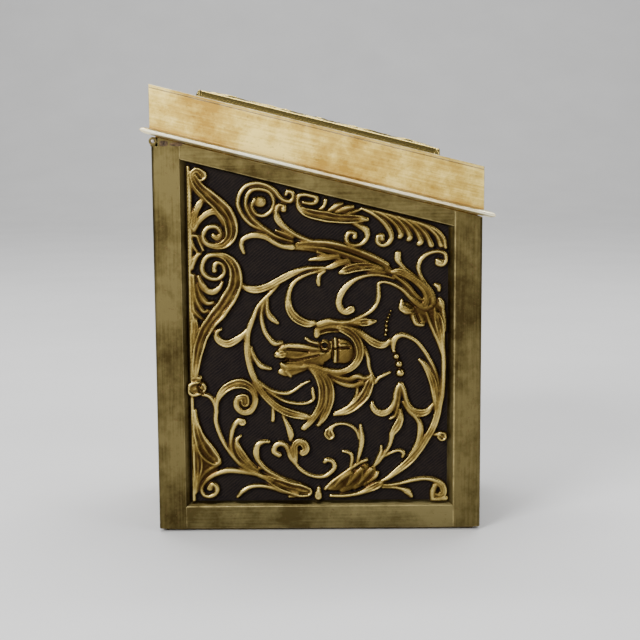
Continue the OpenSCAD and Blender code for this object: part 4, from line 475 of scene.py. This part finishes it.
def blurred(field, reach):
    """The field smoothed over that many grid steps."""
    k = np.exp(-0.5 * (np.arange(-2 * reach, 2 * reach + 1) / reach) ** 2)
    k /= k.sum()
    for axis in (0, 1):
        wide = np.pad(field, [(2 * reach, 2 * reach) if a == axis else (0, 0) for a in (0, 1)], mode="edge")
        field = sum(w * np.take(wide, range(i, i + field.shape[axis]), axis=axis) for i, w in enumerate(k))
    return field


def grain(shape, seed, reach):
    """Smooth random unevenness between about -1 and 1."""
    g = blurred(np.random.default_rng(seed).standard_normal(shape), reach)
    return g / (3 * g.std())


def linked(name, data):
    """A new object in the scene, holding this mesh, light or camera."""
    obj = bpy.data.objects.new(name, data)
    bpy.context.scene.collection.objects.link(obj)
    return obj


def smooth_object(name, me, material):
    """A new object with this mesh, smoothly shaded, in one material."""
    me.materials.append(material)
    me.polygons.foreach_set("use_smooth", [True] * len(me.polygons))
    return linked(name, me)


def mesh_of(name, verts, faces):
    """A mesh from its points and faces."""
    me = bpy.data.meshes.new(name)
    me.from_pydata(verts, [], faces)
    return me


def stamped(
    name, across, up, height, cover, place, body, material, flip=False, rubbed_and_lit=0.26, shade=0.75, gain=1.0
):
    """A closed sheet with relief on its face, a flat back, and its relief's marks kept for the material: its
    cover, and a shade that is lighter on crests, for wear and painted highlight, and darker on steep flanks,
    for painted shade.
    """
    rows, cols = across.shape
    n = rows * cols
    front = place(across.ravel(), up.ravel(), height.ravel())
    ring = list(range(cols)) + [r * cols + cols - 1 for r in range(1, rows)]
    ring += [(rows - 1) * cols + c for c in range(cols - 2, -1, -1)]
    ring += [r * cols for r in range(rows - 2, 0, -1)]
    back = place(across.ravel()[ring], up.ravel()[ring], np.full(len(ring), -SHEET))
    i = (np.arange(rows - 1)[:, None] * cols + np.arange(cols - 1)[None, :]).ravel()
    faces = np.stack([i, i + 1, i + cols + 1, i + cols], 1).tolist()
    m = len(ring)
    for k in range(m):
        j = (k + 1) % m
        faces.append([ring[j], ring[k], n + k, n + j])
    faces.append([n + k for k in range(m - 1, -1, -1)])
    if flip:
        faces = [f[::-1] for f in faces]
    me = mesh_of(name, np.vstack([front, back]).tolist(), faces)
    obj = smooth_object(name, me, material)
    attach(obj, body)
    for k in range(m + 1):
        me.polygons[len(faces) - 1 - k].use_smooth = False
    cell = abs(across[0, cols // 2 + 1] - across[0, cols // 2])
    steep = np.hypot(*np.gradient(height)) / max(cell, 1e-3)
    # Crests lighter and steep flanks darker: wear on the crests, and also painted highlight and painted shade
    # from how the light falls.
    crest = rubbed_and_lit + gain * (1.8 * (height - blurred(height, 2)) + 1.3 * (height - blurred(height, 6)))
    wear_and_light = crest * (1 - shade * np.clip(steep / STEEP, 0, 1))
    marks = {"cover": cover, "ridge_wear_and_light": np.clip(wear_and_light, 0, 1)}
    for key, field in marks.items():
        at = me.attributes.new(key, "FLOAT", "POINT")
        at.data.foreach_set("value", np.concatenate([field.ravel(), field.ravel()[ring]]).astype(np.float32))
    return obj


# ------------------------------------------------------------------ materials


class Nodes:
    """Short calls for building a material's nodes."""

    def __init__(self, name, tilt=0.0):
        self.tilt = tilt
        self.material = bpy.data.materials.new(name)
        self.material.use_nodes = True
        self.tree = self.material.node_tree
        self.tree.nodes.clear()
        self.out = self.tree.nodes.new("ShaderNodeOutputMaterial")
        self.shader = self.tree.nodes.new("ShaderNodeBsdfPrincipled")
        self.tree.links.new(self.shader.outputs[0], self.out.inputs[0])

    def put(self, socket, value):
        """Link another node's output to the socket, or set its constant."""
        if isinstance(value, bpy.types.NodeSocket):
            self.tree.links.new(value, socket)
        else:
            socket.default_value = value

    def add(self, kind, inputs=None, output=0, **props):
        """A new node with these inputs and settings, as one of its outputs."""
        n = self.tree.nodes.new("ShaderNode" + kind)
        for key, value in props.items():
            setattr(n, key, value)
        for key, value in (inputs or {}).items():
            self.put(n.inputs[key], value)
        return n.outputs[output]

    def place(self, scale):
        """The position on the object in millimetres, turned with the slope if asked, times the scale."""
        co = self.add("TexCoord", output="Object")
        if self.tilt:
            co = self.add("VectorRotate", {"Vector": co, "Angle": self.tilt}, rotation_type="Y_AXIS")
        return self.add("VectorMath", {0: co, 1: [1000 * s for s in scale]}, operation="MULTIPLY")

    def noise(self, scale, detail, rough):
        """Noise with this many features per millimetre along each axis."""
        if not isinstance(scale, tuple):
            scale = (scale, scale, scale)
        inputs = {"Vector": self.place(scale), "Scale": 1.0, "Detail": detail, "Roughness": rough}
        return self.add("TexNoise", inputs, "Fac")

    def ramp(self, value, *stops):
        """Shades or colours at positions along the value: first, last, then any between."""
        n = self.tree.nodes.new("ShaderNodeValToRGB")
        self.put(n.inputs[0], value)
        for i, (pos, c) in enumerate(stops):
            e = n.color_ramp.elements[i] if i < 2 else n.color_ramp.elements.new(pos)
            e.position = pos
            e.color = (*c, 1) if isinstance(c, tuple) else (c, c, c, 1)
        return n.outputs[0]

    def math(self, op, a, b=0.0):
        """One sum on one or two values."""
        return self.add("Math", {0: a, 1: b}, operation=op)

    def mix(self, fac, a, b):
        """Colour a where the factor is 0 and b where it is 1."""
        n = self.tree.nodes.new("ShaderNodeMix")
        n.data_type = "RGBA"
        self.put(n.inputs["Factor"], fac)
        for socket, value in ((n.inputs[6], a), (n.inputs[7], b)):
            self.put(socket, (*value, 1) if isinstance(value, tuple) else value)
        return n.outputs[2]

    def bump(self, height, distance, normal=None):
        """A normal bent by a height of this many millimetres."""
        inputs = {"Height": height, "Distance": distance * MM, "Strength": 1.0}
        if normal is not None:
            inputs["Normal"] = normal
        return self.add("Bump", inputs)

    def done(self, color, rough, metallic, normal=None):
        """The finished material."""
        for key, value in (("Base Color", color), ("Roughness", rough), ("Metallic", metallic)):
            self.put(self.shader.inputs[key], value)
        if normal is not None:
            self.put(self.shader.inputs["Normal"], normal)
        return self.material


# Noise scale that draws fine streaks along an axis
ALONG = {"x": (0.12, 3.2, 3.2), "y": (3.2, 0.12, 3.2), "z": (3.2, 3.2, 0.12)}


def worn_brass(name, along, bright, mid, dark, edge, hollow, dirt_and_shade=0.4, pits=0.5, tilt=0.0):
    """Old brass: faintly brushed one way, clouded and pitted, bright on its edges with wear and a painted
    highlight, darker in its hollows with dirt and painted shade.
    """
    n = Nodes(name, tilt)
    streak = n.noise(ALONG[along], 3, 0.6)
    blot = n.noise(0.07, 2, 0.5)
    cloud = n.noise(0.45, 5, 0.7)
    pit = n.ramp(n.noise(1.9, 2, 0.6), (0.655, 0.0), (0.7, 1.0))
    tone = n.math("ADD", n.math("MULTIPLY", streak, 0.16), n.math("MULTIPLY", blot, 0.54))
    tone = n.math("ADD", tone, n.math("MULTIPLY", cloud, 0.3))
    color = n.ramp(tone, (0.42, dark), (0.58, bright), (0.5, mid))
    color = n.mix(n.math("MULTIPLY", pit, pits), color, (0.1, 0.06, 0.025))
    # Rubbed bevel faces take the edge colour: wear, and a painted highlight along the edges.
    rubbed_and_lit = n.add("Attribute", {}, "Fac", attribute_name="rubbed_and_lit")
    color = n.mix(n.math("MULTIPLY", rubbed_and_lit, n.ramp(cloud, (0.35, 0.1), (0.65, 0.6))), color, edge)
    # Occlusion darkens corners, recesses and joints towards the hollow colour: dirt there, and painted shade.
    hidden = n.add("AmbientOcclusion", {"Distance": 1.4 * MM}, "AO", samples=6)
    grime_and_shade = n.math("MULTIPLY", n.ramp(hidden, (0.35, 1.0), (0.85, 0.0)), dirt_and_shade)
    color = n.mix(grime_and_shade, color, hollow)
    rough = n.math("ADD", n.math("MULTIPLY", blot, 0.25), n.math("MULTIPLY", grime_and_shade, 0.35))
    rough = n.math("ADD", rough, 0.2)
    normal = n.bump(streak, 0.012)
    normal = n.bump(n.math("SUBTRACT", cloud, n.math("MULTIPLY", pit, 0.3)), 0.03, normal)
    return n.done(color, rough, 1.0, normal)


def stamped_brass(name, stain_and_shade=1.0):
    """Relief over a blackened, hatched ground: bright on its ridges with wear and painted highlight, brown in
    its hollows with stain and painted shade, and darker where it faces down, with painted shade.
    """
    n = Nodes(name)
    cover = n.add("Attribute", {}, "Fac", attribute_name="cover")
    ridge_wear_and_light = n.add("Attribute", {}, "Fac", attribute_name="ridge_wear_and_light")
    cloud = n.noise(0.9, 5, 0.7)
    fine = n.noise(3.5, 3, 0.7)
    tone = n.math("ADD", ridge_wear_and_light, n.math("MULTIPLY", n.math("SUBTRACT", cloud, 0.5), 0.45))
    gold = n.ramp(tone, (0.15, (0.028, 0.014, 0.004)), (0.85, (0.5, 0.385, 0.12)), (0.49, (0.15, 0.1, 0.024)))
    gold = n.mix(n.ramp(fine, (0.55, 0.0), (0.8, 0.5)), gold, (0.12, 0.07, 0.025))
    lines = n.add("VectorMath", {0: n.place((1, 1, 1)), 1: (10, 10, -12)}, "Value", operation="DOT_PRODUCT")
    hatch = n.math("SINE", n.math("ADD", lines, n.math("MULTIPLY", cloud, 9.0)))
    ground = n.mix(n.ramp(hatch, (0.2, 0.0), (0.9, 0.85)), (0.005, 0.0035, 0.0035), (0.018, 0.012, 0.01))
    ground = n.mix(n.ramp(cloud, (0.4, 0.0), (0.8, 0.5)), ground, (0.02, 0.014, 0.009))
    # Occlusion browns the relief in its hollows: stain there, and painted shade.
    hidden = n.add("AmbientOcclusion", {"Distance": 0.9 * MM}, "AO", samples=6)
    gold = n.mix(n.ramp(hidden, (0.45, 0.85 * stain_and_shade), (0.95, 0.0)), gold, (0.045, 0.022, 0.008))
    # Faces turned downward are painted darker: painted shade, standing in for the dark reflection below them.
    facing = n.tree.nodes.new("ShaderNodeSeparateXYZ")
    n.put(facing.inputs[0], n.add("NewGeometry", output="Normal"))
    under = n.math("MULTIPLY", facing.outputs[2], -1.0)
    gold = n.mix(n.ramp(under, (0.05, 0.0), (0.6, 0.8 * stain_and_shade)), gold, (0.05, 0.024, 0.008))
    on_relief = n.ramp(cover, (0.2, 0.0), (0.7, 1.0))
    color = n.mix(on_relief, ground, gold)
    metal = n.math("MULTIPLY", on_relief, 0.95)
    gloss = n.math("ADD", 0.42, n.math("MULTIPLY", ridge_wear_and_light, 0.08))
    rough = n.math("SUBTRACT", 0.72, n.math("MULTIPLY", on_relief, gloss))
    normal = n.bump(n.math("ADD", fine, n.math("MULTIPLY", hatch, 0.3)), 0.015)
    n.put(n.shader.inputs["Specular IOR Level"], 0.08)
    return n.done(color, rough, metal, normal)


BROWN = (0.06, 0.035, 0.015)
AMBER = (0.42, 0.2, 0.045)


def tones(bright, mid, dark, edge, hollow):
    """A brass's shades, that of its rubbed edges, worn and with a painted highlight, and that of its hollows,
    dirt and painted shade.
    """
    return dict(bright=bright, mid=mid, dark=dark, edge=edge, hollow=hollow)


# One brass in lit and shaded copies, painted for the light each part gets: the frame darker for the dark
# surroundings it reflects, the foot lighter to make up for the shade near the floor, the lid lighter for the
# light from above, and the rim's flange a painted highlight. The inner brass is plain and dull.
FRAME_SHADED = tones((0.132, 0.104, 0.039), (0.085, 0.065, 0.022), (0.042, 0.029, 0.009), (0.5, 0.4, 0.17), BROWN)
FOOT_LIT = tones((0.19, 0.155, 0.063), (0.13, 0.105, 0.04), (0.07, 0.052, 0.017), (0.5, 0.4, 0.17), BROWN)
LID_LIT = tones((0.8, 0.61, 0.175), (0.53, 0.36, 0.075), (0.34, 0.2, 0.033), (1.0, 0.9, 0.6), AMBER)
DULL = tones((0.36, 0.25, 0.07), (0.22, 0.15, 0.04), (0.1, 0.065, 0.016), (0.45, 0.33, 0.1), BROWN)
RIM_HIGHLIGHT = tones((1.0, 0.95, 0.68), (0.97, 0.84, 0.5), (0.7, 0.5, 0.2), (1.0, 0.95, 0.7), AMBER)

frame_z = worn_brass("frame_brass_shaded_upright", "z", **FRAME_SHADED)
frame_x = worn_brass("frame_brass_shaded_wide", "x", **FRAME_SHADED)
frame_y = worn_brass("frame_brass_shaded_narrow", "y", **FRAME_SHADED)
foot_x = worn_brass("foot_brass_lit_wide", "x", **FOOT_LIT)
foot_y = worn_brass("foot_brass_lit_narrow", "y", **FOOT_LIT)
lid_x = worn_brass("lid_brass_lit_wide", "x", dirt_and_shade=0.7, pits=0.3, tilt=-SLOPE, **LID_LIT)
lid_y = worn_brass("lid_brass_lit_narrow", "y", dirt_and_shade=0.7, pits=0.3, **LID_LIT)
rim_x = worn_brass("rim_brass_highlight_wide", "x", dirt_and_shade=0.2, pits=0.2, tilt=-SLOPE, **RIM_HIGHLIGHT)
rim_y = worn_brass("rim_brass_highlight_narrow", "y", dirt_and_shade=0.2, pits=0.2, **RIM_HIGHLIGHT)
inner = worn_brass("inner_brass", "z", dirt_and_shade=0.5, pits=0.35, **DULL)
relief_brass = stamped_brass("stamped_brass")
lid_relief_brass = stamped_brass("stamped_brass_lid_lit", 0.2)


def grainy_material(name, low, high, rough, metallic, scale, depth):
    """A grainy material between two colours."""
    n = Nodes(name)
    grainy = n.noise(scale, 4, 0.7)
    shade = n.ramp(grainy, (0.3, low), (0.7, high))
    return n.done(shade, rough, metallic, n.bump(grainy, depth))


steel = grainy_material("pin_steel", (0.16, 0.13, 0.11), (0.42, 0.38, 0.34), 0.45, 1.0, 2.5, 0.04)
velvet = grainy_material("lining_velvet", (0.07, 0.012, 0.02), (0.2, 0.05, 0.07), 0.95, 0.0, 3.0, 0.25)
solder = grainy_material("old_solder", (0.015, 0.009, 0.006), (0.16, 0.1, 0.05), 0.6, 0.6, 1.6, 0.3)

# ------------------------------------------------------------------ worn strips and sheets


def worn_edges(node, body, material, width):
    """A CAD node's shape with its edges rubbed round, standing in for that node."""
    me = NODES[node].data.copy()
    bm = bmesh.new()
    bm.from_mesh(me)
    bmesh.ops.remove_doubles(bm, verts=bm.verts, dist=1e-7)
    bmesh.ops.dissolve_limit(bm, angle_limit=math.radians(0.5), verts=bm.verts, edges=bm.edges)
    sharp = [e for e in bm.edges if len(e.link_faces) == 2 and e.calc_face_angle(0) > math.radians(28)]
    rubbed_and_lit = bm.faces.layers.float.new("rubbed_and_lit")
    cut = dict(offset=width * MM, segments=2, profile=0.5, affect="EDGES", clamp_overlap=True)
    made = bmesh.ops.bevel(bm, geom=sharp, **cut)
    # The bevel faces are marked for the edge colour: wear, and a painted highlight.
    for f in made["faces"]:
        f[rubbed_and_lit] = 1.0
    bmesh.ops.triangulate(bm, faces=bm.faces)
    bm.to_mesh(me)
    bm.free()
    me.materials.clear()
    obj = smooth_object("worn_" + node, me, material)
    me.set_sharp_from_angle(angle=math.radians(35))
    obj.modifiers.new("flat_faces", "WEIGHTED_NORMAL").keep_sharp = True
    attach(obj, body)
    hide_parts(node)


for post in ("front_left", "back_left", "front_right", "back_right"):
    worn_edges(f"post_{post}", "case", frame_z, 0.14)
for kind, wide, narrow in (("foot_rail", foot_x, foot_y), ("top_rail", frame_x, frame_y)):
    for side, mat in (("front", wide), ("back", wide), ("left", narrow), ("right", narrow)):
        worn_edges(f"{kind}_{side}", "case", mat, 0.12)
worn_edges("base_plate", "case", frame_x, 0.15)
worn_edges("case_shell", "case", inner, 0.08)
worn_edges("rim_collar", "case", lid_x, 0.05)
worn_edges("divider_long", "case", inner, 0.1)
worn_edges("divider_cross", "case", inner, 0.1)
worn_edges("hinge_knuckles_case", "case", frame_y, 0.06)
worn_edges("hinge_knuckles_lid", "lid", lid_y, 0.06)
worn_edges("hinge_pin", "case", steel, 0.05)
for sides, wall, rim in ((("front", "back"), lid_x, rim_x), (("left", "right"), lid_y, rim_y)):
    for side in sides:
        worn_edges(f"lid_wall_{side}", "lid", wall, 0.08)
        worn_edges(f"lid_rim_{side}", "lid", rim, 0.07)
worn_edges("lid_top_frame", "lid", lid_x, 0.12)

# ------------------------------------------------------------------ stamped panels

DEPTH = 0.85  # how far the case's relief stands out
PROUD = 0.88  # the most that its unevenness may reach
LID_DEPTH, LID_PROUD = 2.1, 2.15
PLATE_UNDER = 70.2 - 25.5 * RISE - 0.5  # underside of the lid's sloped plate at the middle of the case
FINE = 1


def uneven(height, cover, seed, most):
    """The relief with a ground that is a little uneven."""
    return np.clip(height + 0.03 * grain(height.shape, seed, 4) * (1 - cover), 0, most)


def panel_box(side, k):
    """A panel node's low and high corner, the place of its outer face along axis k, and the way it faces."""
    low, high = box_mm(f"panel_{side}")
    outward = -1 if side in ("front", "left") else 1
    return low, high, low[k] if outward < 0 else high[k], outward


def wide_panel(side, seed):
    """The stamped sheet of a wide side, facing out of that side. Its rows follow the slope."""
    low, high, face, outward = panel_box(side, 1)
    top = high[2] + low[0] * RISE
    line = np.concatenate([[low[0]], np.linspace(-20.7, 20.7, 278 // FINE), [high[0]]])
    share = np.concatenate([[0], np.linspace(0.055, 0.955, 338 // FINE), [1]])
    across = np.tile(line, (len(share), 1))
    up = low[2] + share[:, None] * (top - RISE * line[None, :] - low[2])
    stems = CORNER_LEAF + KNOT_AND_FOOT + GREAT_RING + TOP_SCROLLS + RIGHT_SCROLLS + GRIFFIN
    stems = wider(stems, 1.06, 0.1) + PANEL_LIPS
    height, cover = relief(stems, BEADS, across, up, DEPTH, DOMES, CROWNS, CARVES)
    dull = 0.03 * grain(height.shape, seed, 4) * (1 - cover)
    height = np.clip(height + dull + 0.012 * grain(height.shape, seed + 1, 3), 0, PROUD)
    margin = (np.abs(across) > 20.6) | (up < 4.4)  # what the strips of the frame hold stays flat
    height[margin], cover[margin] = 0, 0

    def place(a, u, h):
        return np.stack([a, face + outward * h, u], 1) * MM

    name = f"stamped_panel_{side}"
    obj = stamped(name, across, up, height, cover, place, "case", relief_brass, side == "back")
    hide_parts(f"panel_{side}", f"scrolls_{side}")


def narrow_panel(side, stems, seed):
    """The stamped sheet of a narrow side, from the stems of its one half."""
    stems = both_halves(wider(stems, 1.4))
    low, high, face, outward = panel_box(side, 0)
    lines, rows = np.linspace(low[1], high[1], 190 // FINE), np.linspace(low[2], high[2], 380 // FINE)
    across, up = np.meshgrid(lines, rows)
    height, cover = relief(stems, [], across, up, DEPTH)
    height = uneven(height, cover, seed, PROUD)

    def place(a, u, h):
        return np.stack([face + outward * h, a, u], 1) * MM

    name = f"stamped_panel_{side}"
    obj = stamped(name, across, up, height, cover, place, "case", relief_brass, side == "left")
    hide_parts(f"panel_{side}", f"scrolls_{side}")


def lid_panel(seed):
    """The lid's stamped sheet, lying along the slope. Its plain margin goes under the top frame."""
    half_x, half_y = 21.9, 12.9
    lines, rows = np.linspace(-half_x, half_x, 290 // FINE), np.linspace(-half_y, half_y, 180 // FINE)
    across, up = np.meshgrid(lines, rows)
    stems = both_halves(wider(LID_HALF, 1.25) + LID_BORDER)
    height, cover = relief(stems, [], across, up, LID_DEPTH)
    height = uneven(height, cover, seed, LID_PROUD)
    height[(np.abs(across) > 20) | (np.abs(up) > 11.2)] = 0
    cover[(np.abs(across) > 19) | (np.abs(up) > 10.3)] = 1
    c, s = math.cos(SLOPE), math.sin(SLOPE)

    def place(a, u, h):
        return np.stack([a * c + h * s, u, PLATE_UNDER - a * s + h * c], 1) * MM

    # The lid's relief is painted bright all over, as lit from above, with little painted shade on its flanks.
    rub = dict(rubbed_and_lit=1.0, shade=0.15, gain=0.4)
    sheet = (across, up, height, cover, place)
    obj = stamped("stamped_lid_panel", *sheet, "lid", lid_relief_brass, **rub)
    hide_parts("lid_panel", "lid_scrolls")


wide_panel("front", 11)
wide_panel("back", 21)
narrow_panel("left", NARROW_HALF + TALL_HALF, 31)
narrow_panel("right", NARROW_HALF, 41)
lid_panel(51)

# ------------------------------------------------------------------ old solder at the hinge


def solder_lump(name, x0, x1, y0, y1, z0, z1, seed):
    """A rough lump of solder inside the box given, in millimetres."""
    box = ((x0, x1), (y0, y1), (z0, z1))
    bm = bmesh.new()
    bmesh.ops.create_icosphere(bm, subdivisions=4, radius=1)
    rng = np.random.default_rng(seed)
    waves = [(3 * (i + 1), 0.07 / (i + 1), phase) for i, phase in enumerate(rng.uniform(0, 6.28, (4, 3)))]
    for v in bm.verts:
        p = v.co
        swell = sum(math.sin(f * p.x + ph[0]) * math.cos(f * p.y + ph[1]) * size for f, size, ph in waves)
        q = [math.copysign(abs(c) ** 0.6, c) * (0.9 + swell) for c in p]
        q = [max(-1, min(1, c)) for c in q]
        v.co = [((a + b) / 2 + c * (b - a) / 2) * MM for c, (a, b) in zip(q, box)]
    me = bpy.data.meshes.new(name)
    bm.to_mesh(me)
    bm.free()
    obj = smooth_object(name, me, solder)
    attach(obj, "case")


for i, (side, y0, y1) in enumerate((("front", -16.13, -15.3), ("back", 15.3, 16.13))):
    solder_lump(f"solder_{side}_a", -24.4, -22.6, y0, y1, 60.7, 61.75, 5 + i)
    solder_lump(f"solder_{side}_b", -23.1, -20.2, y0 + 0.03, y1 - 0.03, 60.75, 61.45, 15 + i)

# ------------------------------------------------------------------ lining, floor, light and camera

worn_edges("floor_lining", "case", velvet, 0.2)

paper_nodes = Nodes("paper_sweep")
fleck = paper_nodes.noise(0.02, 3, 0.5)
paper = paper_nodes.done(paper_nodes.ramp(fleck, (0.3, 0.74), (0.7, 0.78)), 0.95, 0.0)

# A floor that bends up into the wall behind, in metres
BEND_Y, BEND_R, FAR, WALL = 0.9, 0.6, 40.0, 5.0
turns = [math.radians(6 * i) for i in range(16)]
bend = [(BEND_Y + BEND_R * math.sin(a), BEND_R - BEND_R * math.cos(a)) for a in turns]
curve = [(-FAR, 0.0), (0.6, 0.0)] + bend + [(BEND_Y + BEND_R, WALL)]
verts = [(x, y, z) for y, z in curve for x in (-FAR, FAR)]
faces = [(2 * i, 2 * i + 1, 2 * i + 3, 2 * i + 2) for i in range(len(curve) - 1)]
smooth_object("sweep", mesh_of("sweep", verts, faces), paper)

world = bpy.data.worlds.new("studio")
bpy.context.scene.world = world
world.use_nodes = True
sky = world.node_tree.nodes["Background"]
sky.inputs["Color"].default_value = (1.0, 0.97, 0.92, 1)
sky.inputs["Strength"].default_value = 0.06


def softbox(name, place, aim, size, power):
    """A rectangular light turned to its aim, both in metres, its power in watts."""
    data = bpy.data.lights.new(name, "AREA")
    data.shape = "RECTANGLE"
    data.size, data.size_y = size
    data.energy = power
    lamp = linked(name, data)
    lamp.location = place
    lamp.rotation_euler = (Vector(place) - Vector(aim)).to_track_quat("Z", "Y").to_euler()


softbox("key", (-0.3, -0.4, 0.3), (0, 0, 0.03), (0.2, 0.2), 3.2)
softbox("front_light", (-0.1, -0.9, 0.2), (0, 0, 0.03), (0.6, 0.4), 2.4)
softbox("fill", (0.45, -0.3, 0.3), (0, 0, 0.03), (0.12, 0.4), 0.7)
softbox("top_light", (0.0, 0.1, 0.6), (0, 0, 0.05), (0.5, 0.4), 4.0)
softbox("backdrop_light", (0.0, 0.6, 1.2), (0, 1.3, 0.4), (1.5, 0.4), 12.0)

cam_data = bpy.data.cameras.new("camera")
cam_data.lens = 71.7
cam_data.sensor_width = 36
cam_data.clip_start = 0.01
camera = linked("camera", cam_data)
down, roll = math.radians(7.28), math.radians(-0.375)
turn = Matrix.Rotation(math.pi / 2 - down, 4, "X") @ Matrix.Rotation(roll, 4, "Z")
camera.matrix_world = Matrix.Translation((0.00025, -0.213, 0.059)) @ turn
bpy.context.scene.camera = camera
